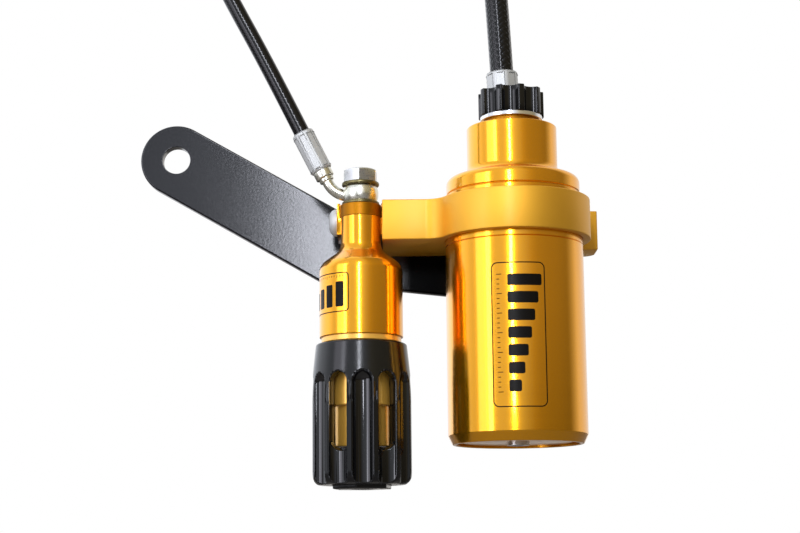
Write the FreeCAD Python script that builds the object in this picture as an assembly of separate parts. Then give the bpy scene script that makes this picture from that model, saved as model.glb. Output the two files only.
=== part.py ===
import FreeCAD, Part
import math
import os

# The remote unit of a motorcycle rear shock absorber: a gas reservoir with a compression adjuster on its
# head, and a hydraulic spring preload adjuster, both held by one clamp arm on a steel strap.
# Millimetres. The origin is the centre of the strap's fixing hole on the strap's back face.
# X runs to the right, Y runs back towards the motorcycle, Z runs up.

V = FreeCAD.Vector
UP = V(0, 0, 1)
RIGHT = V(1, 0, 0)
BACK = V(0, 1, 0)

# Clearances
running_gap = 0.05        # radial, between pieces that turn or slide in each other
hex_slide_gap = 0.08      # half the play across the flats of the piston's hexagon
turning_face_gap = 0.3    # between the knob's top and the ring above it
thread_gap = 0.02         # radial, between a screw and its hole

# Steel strap
strap_thickness = 5.0
strap_width = 28.5
strap_hole_diameter = 11.0
strap_edge_chamfer = 0.6
strap_first_leg = 73.3
strap_first_slope = 30.0
strap_second_leg = 55.3
strap_second_slope = 6.3

# Clamp arm
arm_middle_drop = 32.5
arm_height = 15.4
clamp_wall = 3.0
arm_front_offset = 7.0
arm_fillet = 8.0
ear_left_reach = 8.0
ear_front_reach = 18.0
ear_past_ring = 5.0
ear_behind_ring = 4.8
ear_slit_inset = 8.5
ear_slit_width = 2.0
ear_corner_radius = 5.0
pinch_screw_diameter = 5.0
pinch_screw_setback = 4.6
pinch_screw_margin = 3.0
strap_screw_diameter = 6.0
strap_screw_inset = 7.8
strap_screw_spacing = 15.0
strap_screw_depth = 12.0
strap_screw_head_radius = 5.6
strap_screw_recess = 0.2
screw_hole_gap = 0.2      # radial, round a screw that passes through
cap_head_share = 0.83     # a cap screw's head radius over its thread diameter

# Reservoir tube and its end cap
reservoir_x = 132.5
tube_diameter = 52.0
tube_wall = 3.0
tube_below_arm = 76.6
tube_in_clamp = 11.4
tube_chamfer_height = 3.4
tube_chamfer_depth = 1.65
tube_line_drop = 2.7
tube_line_size = 0.4
cap_rim_height = 4.0
cap_thickness = 11.0
cap_boss_step = 2.7
cap_boss_recess = 0.7
circlip_wire = 1.5
circlip_groove_depth = 0.9
circlip_gap_width = 8.0
seal_section = 1.76
cap_pocket_radius = 14.0
cap_pocket_depth = 4.0
gas_screw_radius = 3.35
gas_head_radius = 4.1
gas_head_height = 2.6
gas_screw_length = 7.0
gas_seal_length = 4.0
piston_rest_height = 36.0
piston_length = 16.0
piston_wall = 6.0
piston_pocket_depth = 10.0
guide_ring_height = 4.0
guide_ring_depth = 1.2
guide_ring_split = 1.0

# Reservoir head
spigot_length = 14.0
flange_step = 0.7
flange_height = 11.0
flange_round = 1.5
head_line_height = 6.4
head_cone_radius = 19.9
head_cone_height = 14.4
head_neck_radius = 16.85
head_neck_start = 18.4
head_height = 32.5
head_chamfer = 0.8
head_cavity_radius = 18.0
head_cavity_depth = 22.0
head_web = 8.0

# Compression adjuster
nipple_radius = 4.2
nipple_bore = 2.0
nipple_step_height = 2.2
nipple_step_gap = 0.4
needle_radius = 6.9
needle_length = 8.0
needle_start = 2.0
needle_neck_radius = 5.5
needle_neck_length = 9.0
needle_run_out = 2.0
valve_body_thickness = 12.0
valve_body_seat = 6.0
valve_port_radius = 1.8
valve_port_circle = 10.5
valve_port_count = 6
shim_thickness = 0.35
shim_radii = (14.0, 12.0, 9.5)
check_plate_thickness = 0.8
check_plate_radius = 14.0
check_spring_wall = 0.5
check_spring_inset = 1.0
valve_nut_flats = 12.0
valve_nut_height = 3.6
collar_radius = 11.3
collar_height = 3.8
collar_thread_radius = 9.85
collar_thread_length = 6.0
hub_radius = 7.0
hub_below_clip = 1.2
hub_groove_depth = 0.8
knob_washer_radius = 11.9
knob_washer_height = 0.65
small_knob_radius = 12.6
small_knob_height = 10.2
small_knob_cup_radius = 8.95
small_knob_floor = 2.4
scallop_count = 9
scallop_radius = 3.3
scallop_depth = 2.6
scallop_turn = 35.0
retaining_ring_height = 1.0
retaining_ring_gap = 0.15
detent_ball_radius = 0.8

# Reservoir hose
hose_offset = 2.7
hose_ferrule_radius = 6.05
hose_ferrule_length = 12.6
hose_lean = 2.4
crimp_start = 0.06        # share of a ferrule's length
crimp_end = 0.9
crimp_flats = 1.93        # size across the pressed flats, as a share of the radius
crimp_round = 0.16
crimp_turn = 11.0         # degrees
reservoir_hose_diameter = 9.0
far_ferrule_length = 16.0
far_eye_radius = 9.0
far_eye_width = 11.0
far_eye_bore = 5.05
far_neck_length = 5.0

# Preload adjuster body
adjuster_spacing = 58.0
adjuster_top_drop = 0.9
port_bush_radius = 7.75
port_bush_height = 4.8
port_bush_thread = 5.5
port_bush_thread_length = 6.0
neck_radius = 7.6
neck_length = 12.5
shoulder_height = 6.1
shoulder_round = 1.4
adjuster_radius = 15.7
adjuster_length = 27.4
chamber_radius = 12.5
chamber_length = 16.5
oil_way_radius = 1.8
lug_left_reach = 9.1
lug_right_reach = 8.2
lug_depth = 19.0
lug_height = 12.0
fixing_screw_setback = 11.0
fixing_screw_diameter = 6.0
fixing_screw_head_radius = 5.25
fixing_screw_head_height = 3.3
fixing_screw_length = 28.0

# Sleeve, spindle, piston and knob of the preload adjuster
sleeve_thread_radius = 13.0
sleeve_thread_length = 7.2
sleeve_flange_radius = 15.0
sleeve_flange_height = 2.1
sleeve_upper_radius = 12.4
sleeve_upper_length = 23.7
sleeve_lower_radius = 10.6
sleeve_lower_length = 15.0
sleeve_bore_radius = 6.6
sleeve_floor = 5.5
sleeve_hex_length = 11.5
piston_hex_flats = 11.0
preload_piston_height = 7.0
preload_piston_hub = 18.0
preload_piston_skin = 2.0
preload_stroke = 8.0
spindle_thread_radius = 4.0
spindle_above_flange = 9.7
spindle_collar_height = 3.0
journal_radius = 5.0
thrust_washer_height = 1.0
knob_length = 52.2
knob_top_radius = 17.0
knob_middle_radius = 18.3
knob_middle_drop = 12.2
knob_radius = 18.7
knob_widest_drop = 20.8
knob_corner_height = 2.6
knob_corner_depth = 2.2
knob_rim_round = 0.8
knob_floor = 11.5
knob_cavity_radius = 14.5
knob_lip_height = 3.9
flute_count = 12
flute_radius = 4.03
flute_depth = 3.0
flute_top_drop = 11.0
flute_turn = 2.5
window_width = 6.9
window_top_drop = 11.6
window_length = 28.6
hex_boss_flats = 20.0
hex_boss_height = 1.5
hex_boss_turn = 21.0
knob_screw_radius = 2.0
knob_screw_head_radius = 3.8
knob_screw_head_height = 2.6
knob_screw_recess = 3.4
knob_screw_bite = 8.0
spindle_collar_gap = 0.2
preload_piston_rest = 0.5
detent_pocket_depth = 4.0
detent_pocket_wall = 1.0

# Banjo joint and preload hose
banjo_washer_radius = 7.1
lower_washer_height = 1.2
upper_washer_height = 1.3
eye_ball_radius = 6.8
eye_height = 6.3
banjo_bolt_radius = 3.95
banjo_head_flats = 12.0
banjo_head_height = 5.0
banjo_head_corner_height = 3.4
banjo_head_top_share = 0.92
banjo_bolt_gap = 0.15
banjo_bolt_end_gap = 0.5
banjo_bolt_turn = 4.0
pipe_radius = 2.1
pipe_bore = 1.2
pipe_drop = 0.65
pipe_corner_reach = 9.7
pipe_bend_radius = 9.5
pipe_lean = 26.7
pipe_collar_radius = 2.8
pipe_collar_start = 6.5
pipe_socket_radius = 3.6
pipe_socket_start = 8.0
preload_ferrule_start = 11.1
preload_ferrule_length = 16.9
preload_ferrule_radius = 4.25
preload_hose_diameter = 6.2
preload_far_eye_radius = 6.8
preload_far_eye_width = 7.0
preload_far_eye_bore = 4.1

# Places that follow from the sizes
tube_radius = tube_diameter / 2
bore_radius = tube_radius - tube_wall
clamp_radius = tube_radius + clamp_wall
flange_radius = tube_radius - flange_step
cap_boss_radius = bore_radius - cap_boss_step
piston_pocket_radius = bore_radius - piston_wall
strap_front = -strap_thickness
axis_y = strap_front - clamp_radius
arm_bottom = -arm_middle_drop - arm_height / 2
arm_top = arm_bottom + arm_height
tube_bottom = arm_bottom - tube_below_arm
tube_top = arm_bottom + tube_in_clamp
cap_rim = tube_bottom + cap_rim_height
cap_top = cap_rim + cap_thickness
spigot_bottom = tube_top - spigot_length
head_top = tube_top + head_height
cavity_top = spigot_bottom + head_cavity_depth
web_top = cavity_top + head_web
collar_top = head_top + collar_height
small_knob_bottom = collar_top + knob_washer_height + running_gap
small_knob_top = small_knob_bottom + small_knob_height
hub_bore_radius = nipple_radius + running_gap
valve_body_bottom = spigot_bottom + valve_body_seat
valve_body_top = valve_body_bottom + valve_body_thickness
valve_body_radius = head_cavity_radius - running_gap
needle_low = cavity_top + needle_start
needle_step = needle_low + needle_length
needle_top = needle_step + needle_neck_length
adjuster_x = reservoir_x - adjuster_spacing
arm_left = adjuster_x + lug_right_reach
ear_right = reservoir_x + clamp_radius + ear_past_ring
ear_back = axis_y + clamp_radius + ear_behind_ring
strap_screw_places = (arm_left + strap_screw_inset, arm_left + strap_screw_inset + strap_screw_spacing)
fixing_height = arm_top - fixing_screw_head_radius
adjuster_top = arm_top - adjuster_top_drop
neck_top = adjuster_top - port_bush_height
shoulder_top = neck_top - neck_length
shoulder_bottom = shoulder_top - shoulder_height
body_bottom = shoulder_bottom - adjuster_length
chamber_bottom = body_bottom + sleeve_thread_length
chamber_top = chamber_bottom + chamber_length
flange_bottom = body_bottom - sleeve_flange_height
sleeve_step = flange_bottom - sleeve_upper_length
sleeve_bottom = sleeve_step - sleeve_lower_length
sleeve_ledge = sleeve_bottom + sleeve_floor
knob_top = flange_bottom - turning_face_gap
knob_bottom = knob_top - knob_length
knob_floor_top = knob_bottom + knob_floor
washer_top = adjuster_top + lower_washer_height
eye_top = washer_top + eye_height
banjo_head_bottom = eye_top + upper_washer_height

nodes = {}


def turned(x, y, profile):
    """Solid turned about the upright axis at x, y from (radius, height) points.

    An entry of four values is an arc through its first pair to its second pair."""
    places = [V(x + p[-2], y, p[-1]) for p in profile]
    edges = []
    for i, entry in enumerate(profile):
        start = places[i - 1]
        end = places[i]
        if len(entry) == 4:
            middle = V(x + entry[0], y, entry[1])
            edges.append(Part.Arc(start, middle, end).toShape())
        else:
            edges.append(Part.LineSegment(start, end).toShape())
    face = Part.Face(Part.Wire(edges))
    return face.revolve(V(x, y, 0), UP, 360)


def rod(x, y, low, high, radius):
    """Upright round bar."""
    return Part.makeCylinder(radius, high - low, V(x, y, low))


def ring(x, y, low, high, outer, inner):
    """Upright round tube."""
    return rod(x, y, low, high, outer).cut(rod(x, y, low - 1, high + 1, inner))


def prism(x, y, low, high, flats, sides=6, turn=0.0):
    """Upright bar with flat sides; flats is the size across them."""
    reach = flats / 2 / math.cos(math.pi / sides)
    corners = []
    for i in range(sides + 1):
        angle = math.radians(turn) + 2 * math.pi * i / sides
        corners.append(V(x + reach * math.cos(angle), y + reach * math.sin(angle), low))
    return Part.Face(Part.makePolygon(corners)).extrude(UP * (high - low))


def block(low, high):
    """Box between two corners."""
    return Part.makeBox(high.x - low.x, high.y - low.y, high.z - low.z, low)


def seal(x, y, z, outer):
    """Round seal whose outside just clears its bore."""
    half = seal_section / 2
    return Part.makeTorus(outer - half, half, V(x, y, z), UP)


def seal_groove(x, y, z, outer):
    """Square groove that a round seal lies in."""
    half = seal_section / 2 + 0.1
    return ring(x, y, z - half, z + half, outer + 1, outer - seal_section - 0.1)


def aimed(shape, place, direction):
    """Moves a shape built up from the origin to a place, with its Z along a direction."""
    turned_shape = shape.copy()
    turned_shape.Placement = FreeCAD.Placement(place, FreeCAD.Rotation(UP, direction))
    return turned_shape


def lean_left(degrees):
    """Direction in the front view that leans left of upright."""
    angle = math.radians(degrees)
    return V(-math.sin(angle), 0, math.cos(angle))


def socket_screw(radius, length, head_radius, head_height, domed):
    """Screw with its head above the origin and its shank below, along Z."""
    shank = rod(0, 0, -length, 0, radius)
    if domed:
        top = head_radius * 0.45
        head = turned(0, 0, [(0, 0), (head_radius, 0), (head_radius, head_height * 0.15),
                             (head_radius * 0.86, head_height * 0.7, top, head_height), (0, head_height)])
    else:
        head = rod(0, 0, 0, head_height, head_radius)
    socket = prism(0, 0, head_height * 0.35, head_height + 1, radius * 1.3)
    return shank.fuse(head).cut(socket).removeSplitter()


def countersunk(radius, length, head_radius, above):
    """Countersunk screw, or the hole for one, below the origin along Z.

    Its head goes on up by the height above."""
    cone_height = head_radius - radius
    return turned(0, 0, [(0, -length), (radius, -length), (radius, -cone_height), (head_radius, 0),
                         (head_radius, above + 0.01), (0, above + 0.01)])


def swept(path, radius):
    """Round bar along a smooth path."""
    start = path.Edges[0].Vertexes[0].Point
    tangent = path.Edges[0].tangentAt(path.Edges[0].FirstParameter)
    profile = Part.Wire([Part.makeCircle(radius, start, tangent)])
    pipe = Part.BRepOffsetAPI.MakePipeShell(path)
    pipe.add(profile)
    pipe.build()
    pipe.makeSolid()
    return pipe.shape()


def cord_path(points, label):
    """Straight runs joined by arcs, each as large as its two runs allow."""
    edges = []
    radii = []
    here = points[0]
    for i in range(1, len(points) - 1):
        before = points[i - 1] - points[i]
        after = points[i + 1] - points[i]
        shorter = min(before.Length, after.Length)
        half_turn = (math.pi - before.getAngle(after)) / 2
        reach = 0.45 * shorter
        radii.append(reach / math.tan(half_turn))
        first = points[i] + before.normalize() * reach
        last = points[i] + after.normalize() * reach
        bisector = (before + after).normalize()
        centre_distance = radii[-1] / math.cos(half_turn)
        middle = points[i] + bisector * (centre_distance - radii[-1])
        edges.append(Part.LineSegment(here, first).toShape())
        edges.append(Part.Arc(first, middle, last).toShape())
        here = last
    edges.append(Part.LineSegment(here, points[-1]).toShape())
    path = Part.Wire(edges)
    print(label, "length", round(path.Length, 1), "radii", [round(r) for r in radii])
    return path


def cord(points, diameter, label):
    """Solid of a hose along its route, and the direction in which it ends."""
    path = cord_path(points, label)
    solid = swept(path, diameter / 2)
    section = math.pi * diameter ** 2 / 4
    print(label, "volume", round(solid.Volume), "section times length", round(section * path.Length))
    end = (points[-1] - points[-2]).normalize()
    return solid, end


def crimped_ferrule(radius, length, bore):
    """Ferrule with eight flats pressed into it and rounded ends, up from the origin."""
    edge = radius * crimp_round
    body = turned(0, 0, [(bore, 0), (radius - edge, 0), (radius, edge), (radius, length - edge),
                         (radius - edge, length), (bore, length)])
    low = length * crimp_start
    high = length * crimp_end
    pressed = body.common(prism(0, 0, low, high, radius * crimp_flats, 8, crimp_turn))
    reach = radius + 1
    ends = body.cut(block(V(-reach, -reach, low), V(reach, reach, high)))
    return ends.fuse(pressed).removeSplitter()


def far_end(place, direction, ferrule_radius, ferrule_length, eye_radius, eye_width, bore, label):
    """Ferrule and banjo eye at the far end of a hose."""
    ferrule = aimed(crimped_ferrule(ferrule_radius, ferrule_length, nipple_bore), place, direction)
    seat = place + direction * ferrule_length
    centre = seat + direction * (far_neck_length + eye_radius)
    across = (BACK - direction * BACK.dot(direction)).normalize()
    neck = aimed(Part.makeCylinder(ferrule_radius * 0.75, far_neck_length + eye_radius / 2), seat, direction)
    start = centre - across * (eye_width / 2)
    eye = Part.makeCylinder(eye_radius, eye_width, start, across)
    hole = Part.makeCylinder(bore, eye_width + 2, start - across, across)
    fitting = eye.fuse(neck).cut(hole).removeSplitter()
    print(label, "eye centre", centre, "axis", across)
    return ferrule, fitting


def make_strap():
    """Bent strap with a round end at each side, and its two screws, flush with its back."""
    half = strap_width / 2
    slope_one = math.radians(strap_first_slope)
    slope_two = math.radians(strap_second_slope)
    elbow = V(strap_first_leg * math.cos(slope_one), 0, -strap_first_leg * math.sin(slope_one))
    end = elbow + V(strap_second_leg * math.cos(slope_two), 0, -strap_second_leg * math.sin(slope_two))
    mean = (slope_one + slope_two) / 2
    corner = half / math.cos((slope_one - slope_two) / 2)
    corner_way = V(math.sin(mean), 0, math.cos(mean)) * corner
    up_one = V(math.sin(slope_one), 0, math.cos(slope_one)) * half
    up_two = V(math.sin(slope_two), 0, math.cos(slope_two)) * half
    left_tip = V(-math.cos(slope_one), 0, math.sin(slope_one)) * half
    right_tip = end + V(math.cos(slope_two), 0, -math.sin(slope_two)) * half
    edges = [Part.LineSegment(up_one, elbow + corner_way).toShape(),
             Part.LineSegment(elbow + corner_way, end + up_two).toShape(),
             Part.Arc(end + up_two, right_tip, end - up_two).toShape(),
             Part.LineSegment(end - up_two, elbow - corner_way).toShape(),
             Part.LineSegment(elbow - corner_way, -up_one).toShape(),
             Part.Arc(-up_one, left_tip, up_one).toShape()]
    strap = Part.Face(Part.Wire(edges)).extrude(V(0, -strap_thickness, 0))
    rims = [e for e in strap.Edges if abs(e.BoundBox.YMax - e.BoundBox.YMin) < 0.01]
    strap = strap.makeChamfer(strap_edge_chamfer, rims)
    strap = strap.cut(Part.makeCylinder(strap_hole_diameter / 2, strap_thickness, V(0, 0, 0), -BACK))
    screws = []
    radius = strap_screw_diameter / 2
    for place_x in strap_screw_places:
        place = V(place_x, -strap_screw_recess, -arm_middle_drop)
        strap = strap.cut(aimed(countersunk(radius + screw_hole_gap, strap_thickness + 1,
                                            strap_screw_head_radius + screw_hole_gap, 1), place, BACK))
        screw = countersunk(radius, strap_thickness - strap_screw_recess + strap_screw_depth,
                            strap_screw_head_radius, 0)
        screws.append(aimed(screw.cut(prism(0, 0, -radius * 0.6, 1, radius * 1.3)), place, BACK))
    nodes["support_strap"] = strap
    nodes["strap_screws"] = Part.makeCompound(screws)


def make_clamp_arm():
    """Ring round the reservoir with an arm to the left and two pinch ears at the back right."""
    arm_front = axis_y - arm_front_offset
    body = rod(reservoir_x, axis_y, arm_bottom, arm_top, clamp_radius)
    body = body.fuse(block(V(arm_left, arm_front, arm_bottom), V(reservoir_x, strap_front, arm_top)))
    body = body.removeSplitter()
    inner_x = reservoir_x - math.sqrt(clamp_radius ** 2 - arm_front_offset ** 2)
    corner = [e for e in body.Edges if abs(e.CenterOfMass.x - inner_x) < 0.1
              and abs(e.CenterOfMass.y - arm_front) < 0.1]
    body = body.makeFillet(arm_fillet, corner)
    ears = block(V(reservoir_x + ear_left_reach, axis_y + ear_front_reach, arm_bottom),
                 V(ear_right, ear_back, arm_top))
    outer_corners = [e for e in ears.Edges if abs(e.BoundBox.ZLength - arm_height) < 0.01
                     and e.CenterOfMass.y > ear_back - 0.01]
    body = body.fuse(ears.makeFillet(ear_corner_radius, outer_corners))
    body = body.cut(rod(reservoir_x, axis_y, arm_bottom - 1, arm_top + 1, tube_radius))
    slit_x = reservoir_x + clamp_radius - ear_slit_inset
    slit = block(V(slit_x - ear_slit_width / 2, axis_y, arm_bottom - 1),
                 V(slit_x + ear_slit_width / 2, ear_back + 1, arm_top + 1))
    body = body.cut(slit)
    pinch_radius = pinch_screw_diameter / 2
    pinch_place = V(ear_right - pinch_screw_diameter, ear_back - pinch_screw_setback, -arm_middle_drop)
    pinch_length = pinch_place.x - reservoir_x - ear_left_reach - pinch_screw_margin
    pinch_head_radius = pinch_screw_diameter * cap_head_share
    pinch = socket_screw(pinch_radius, pinch_length, pinch_head_radius, pinch_screw_diameter, False)
    body = body.cut(Part.makeCylinder(pinch_radius + thread_gap, pinch_length, pinch_place, -RIGHT))
    sink_radius = pinch_head_radius + screw_hole_gap
    body = body.cut(Part.makeCylinder(sink_radius, pinch_screw_diameter + 1, pinch_place, RIGHT))
    for place_x in strap_screw_places:
        place = V(place_x, strap_front, -arm_middle_drop)
        hole = Part.makeCylinder(strap_screw_diameter / 2 + thread_gap, strap_screw_depth, place, -BACK)
        body = body.cut(hole)
    thread_end = V(arm_left, axis_y + fixing_screw_setback, fixing_height)
    thread_length = fixing_screw_length - lug_left_reach - lug_right_reach
    body = body.cut(Part.makeCylinder(fixing_screw_diameter / 2 + thread_gap, thread_length, thread_end, RIGHT))
    nodes["clamp_arm"] = body.removeSplitter()
    nodes["pinch_screw"] = aimed(pinch, pinch_place, RIGHT)


def make_reservoir_tube():
    """Tube with its end cap, wire circlip, gas valve and floating piston."""
    x = reservoir_x
    y = axis_y
    line = tube_line_size
    line_top = arm_bottom - tube_line_drop + line
    tube = turned(x, y, [(bore_radius, tube_bottom), (tube_radius - tube_chamfer_depth, tube_bottom),
                         (tube_radius, tube_bottom + tube_chamfer_height), (tube_radius, line_top - line),
                         (tube_radius - line, line_top - line / 2), (tube_radius, line_top),
                         (tube_radius, tube_top), (bore_radius, tube_top)])
    clip_low = cap_rim - circlip_wire - 0.1
    groove = ring(x, y, clip_low, cap_rim, bore_radius + circlip_groove_depth, bore_radius - 1)
    nodes["reservoir_tube"] = tube.cut(groove)

    fit_radius = bore_radius - running_gap
    boss_bottom = tube_bottom + cap_boss_recess
    cap = rod(x, y, cap_rim, cap_top, fit_radius).fuse(rod(x, y, boss_bottom, cap_rim, cap_boss_radius))
    cap = cap.cut(rod(x, y, cap_top - cap_pocket_depth, cap_top + 1, cap_pocket_radius))
    cap_seal_z = cap_rim + cap_thickness / 2
    cap = cap.cut(seal_groove(x, y, cap_seal_z, fit_radius))
    head_seat = boss_bottom + gas_head_height * 0.6
    cap = cap.cut(rod(x, y, boss_bottom - 1, head_seat, gas_head_radius + 0.2))
    cap = cap.cut(rod(x, y, head_seat - 1, cap_top, gas_screw_radius + thread_gap))
    nodes["end_cap"] = cap.removeSplitter()
    nodes["end_cap_seal"] = seal(x, y, cap_seal_z, fit_radius)
    clip = ring(x, y, cap_rim - circlip_wire, cap_rim, bore_radius + circlip_groove_depth - 0.05,
                cap_boss_radius + 0.4)
    gap = block(V(x - circlip_gap_width / 2, y, tube_bottom),
                V(x + circlip_gap_width / 2, y + tube_radius, cap_rim + 1))
    nodes["end_cap_circlip"] = clip.cut(gap)
    screw = socket_screw(gas_screw_radius, gas_screw_length, gas_head_radius, gas_head_height, False)
    nodes["gas_valve_screw"] = aimed(screw, V(x, y, head_seat), -UP)
    seal_low = head_seat + gas_screw_length
    nodes["gas_valve_seal"] = rod(x, y, seal_low, seal_low + gas_seal_length, gas_screw_radius)

    low = tube_bottom + piston_rest_height
    high = low + piston_length
    piston = rod(x, y, low, high, fit_radius)
    piston = piston.cut(rod(x, y, low - 1, low + piston_pocket_depth, piston_pocket_radius))
    seal_z = high - seal_section * 2
    ring_low = low + seal_section
    ring_inner = fit_radius - guide_ring_depth
    piston = piston.cut(seal_groove(x, y, seal_z, fit_radius))
    piston = piston.cut(ring(x, y, ring_low, ring_low + guide_ring_height, fit_radius + 1, ring_inner))
    nodes["floating_piston"] = piston
    nodes["piston_seal"] = seal(x, y, seal_z, fit_radius)
    band = ring(x, y, ring_low, ring_low + guide_ring_height, fit_radius, ring_inner)
    split = block(V(x - guide_ring_split / 2, y, low), V(x + guide_ring_split / 2, y + tube_radius, high))
    nodes["piston_guide_ring"] = band.cut(split)


def make_reservoir_head():
    """Head with its flange, concave neck and the cavity for the compression valve."""
    x = reservoir_x
    y = axis_y
    fit_radius = bore_radius - running_gap
    line = tube_line_size
    line_z = tube_top + head_line_height
    cone_z = tube_top + head_cone_height
    neck_z = tube_top + head_neck_start
    web_radius = needle_radius + running_gap * 2
    thread_radius = collar_thread_radius + thread_gap
    round_low = tube_top + flange_height
    round_middle = (flange_radius - flange_round * 0.2, round_low + flange_round * 0.67)
    round_high = (flange_radius - flange_round, round_low + flange_round * 1.07)
    hollow = (head_neck_radius + (head_cone_radius - head_neck_radius) * 0.3, cone_z + (neck_z - cone_z) * 0.3)
    head = turned(x, y, [(head_cavity_radius, spigot_bottom), (fit_radius, spigot_bottom),
                         (fit_radius, tube_top), (flange_radius, tube_top), (flange_radius, line_z - line),
                         (flange_radius - line, line_z), (flange_radius, line_z + line),
                         (flange_radius, round_low), (*round_middle, *round_high),
                         (head_cone_radius, cone_z), (*hollow, head_neck_radius, neck_z),
                         (head_neck_radius, head_top - head_chamfer),
                         (head_neck_radius - head_chamfer, head_top), (thread_radius, head_top),
                         (thread_radius, web_top), (web_radius, web_top),
                         (web_radius, cavity_top), (head_cavity_radius, cavity_top)])
    seal_z = spigot_bottom + spigot_length * 0.45
    nodes["reservoir_head"] = head.cut(seal_groove(x, y, seal_z, fit_radius))
    nodes["head_seal"] = seal(x, y, seal_z, fit_radius)


def make_compression_valve():
    """Valve body, shims, check valve, nut and the hollow needle round the hose nipple."""
    x = reservoir_x
    y = axis_y
    body = rod(x, y, valve_body_bottom, valve_body_top, valve_body_radius)
    body = body.cut(rod(x, y, valve_body_bottom - 1, valve_body_top + 1, nipple_radius + thread_gap))
    for i in range(valve_port_count):
        angle = 2 * math.pi * i / valve_port_count
        port_x = x + valve_port_circle * math.cos(angle)
        port_y = y + valve_port_circle * math.sin(angle)
        body = body.cut(rod(port_x, port_y, valve_body_bottom - 1, valve_body_top + 1, valve_port_radius))
    nodes["compression_valve_body"] = body
    shims = []
    level = valve_body_bottom
    for radius in shim_radii:
        shims.append(ring(x, y, level - shim_thickness, level, radius, nipple_radius + thread_gap))
        level -= shim_thickness
    nodes["compression_shims"] = Part.makeCompound(shims)
    nut = prism(x, y, level - valve_nut_height, level, valve_nut_flats)
    nodes["valve_nut"] = nut.cut(rod(x, y, level - 10, level + 1, nipple_radius + thread_gap))
    plate_top = valve_body_top + check_plate_thickness
    plate_bore = needle_radius + check_spring_wall
    nodes["check_valve_plate"] = ring(x, y, valve_body_top, plate_top, check_plate_radius, plate_bore)
    inner = needle_radius + check_spring_inset
    outer = check_plate_radius - check_spring_inset
    nodes["check_valve_spring"] = turned(x, y, [(outer - check_spring_wall, plate_top), (outer, plate_top),
                                                (inner + check_spring_wall, cavity_top), (inner, cavity_top)])
    needle = rod(x, y, needle_low, needle_step, needle_radius)
    needle = needle.fuse(rod(x, y, needle_step, needle_top, needle_neck_radius))
    nodes["compression_needle"] = needle.cut(rod(x, y, needle_low - 1, head_top, hub_bore_radius))
    return level - valve_nut_height


def make_compression_knob():
    """Knob round the hose nipple, its washer, retaining ring, collar and click detent."""
    x = reservoir_x
    y = axis_y
    collar_bottom = head_top - collar_thread_length
    bore = hub_radius + running_gap
    collar = ring(x, y, head_top, collar_top, collar_radius, bore)
    collar = collar.fuse(ring(x, y, collar_bottom, head_top, collar_thread_radius, bore))
    ball_z = head_top + collar_height / 2
    pocket_reach = collar_radius - detent_pocket_wall
    pocket_radius = detent_ball_radius + running_gap
    pocket = Part.makeCylinder(pocket_radius, pocket_reach - hub_radius, V(x, y + hub_radius, ball_z), BACK)
    nodes["compression_collar"] = collar.cut(pocket).removeSplitter()
    ball_y = y + bore + detent_ball_radius
    nodes["compression_detent_ball"] = Part.makeSphere(detent_ball_radius, V(x, ball_y, ball_z))
    spring_start = bore + detent_ball_radius * 2
    spring_place = V(x, y + spring_start, ball_z)
    spring = Part.makeCylinder(detent_ball_radius, pocket_reach - spring_start, spring_place, BACK)
    core = Part.makeCylinder(detent_ball_radius / 2, collar_radius, V(x, y, ball_z), BACK)
    nodes["compression_detent_spring"] = spring.cut(core)

    washer_low = collar_top + running_gap / 2
    nodes["knob_washer"] = ring(x, y, washer_low, washer_low + knob_washer_height, knob_washer_radius, bore)
    clip_high = collar_bottom - retaining_ring_gap
    clip_low = clip_high - retaining_ring_height
    hub_bottom = clip_low - hub_below_clip
    knob = rod(x, y, small_knob_bottom, small_knob_top, small_knob_radius)
    knob = knob.cut(rod(x, y, small_knob_bottom + small_knob_floor, small_knob_top + 1, small_knob_cup_radius))
    for i in range(scallop_count):
        angle = math.radians(scallop_turn - 90.0) + 2 * math.pi * i / scallop_count
        reach = small_knob_radius + scallop_radius - scallop_depth
        hollow = rod(x + reach * math.cos(angle), y + reach * math.sin(angle),
                     small_knob_bottom - 1, small_knob_top + 1, scallop_radius)
        knob = knob.cut(hollow)
    knob = knob.fuse(rod(x, y, hub_bottom, small_knob_bottom + 1, hub_radius))
    knob = knob.cut(rod(x, y, hub_bottom - 1, small_knob_top + 1, hub_bore_radius))
    groove_radius = hub_radius - hub_groove_depth
    knob = knob.cut(ring(x, y, clip_low, clip_high, hub_radius + 1, groove_radius))
    thread_top = needle_top + needle_run_out
    knob = knob.cut(rod(x, y, hub_bottom - 1, thread_top, needle_neck_radius + running_gap))
    nodes["compression_knob"] = knob.removeSplitter()
    clip = ring(x, y, clip_low, clip_high, hub_radius + hub_groove_depth * 2, groove_radius + thread_gap)
    gap = block(V(x - hub_groove_depth * 2, y, clip_low - 1),
                V(x + hub_groove_depth * 2, y + collar_radius, clip_high + 1))
    nodes["knob_retaining_ring"] = clip.cut(gap)


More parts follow.
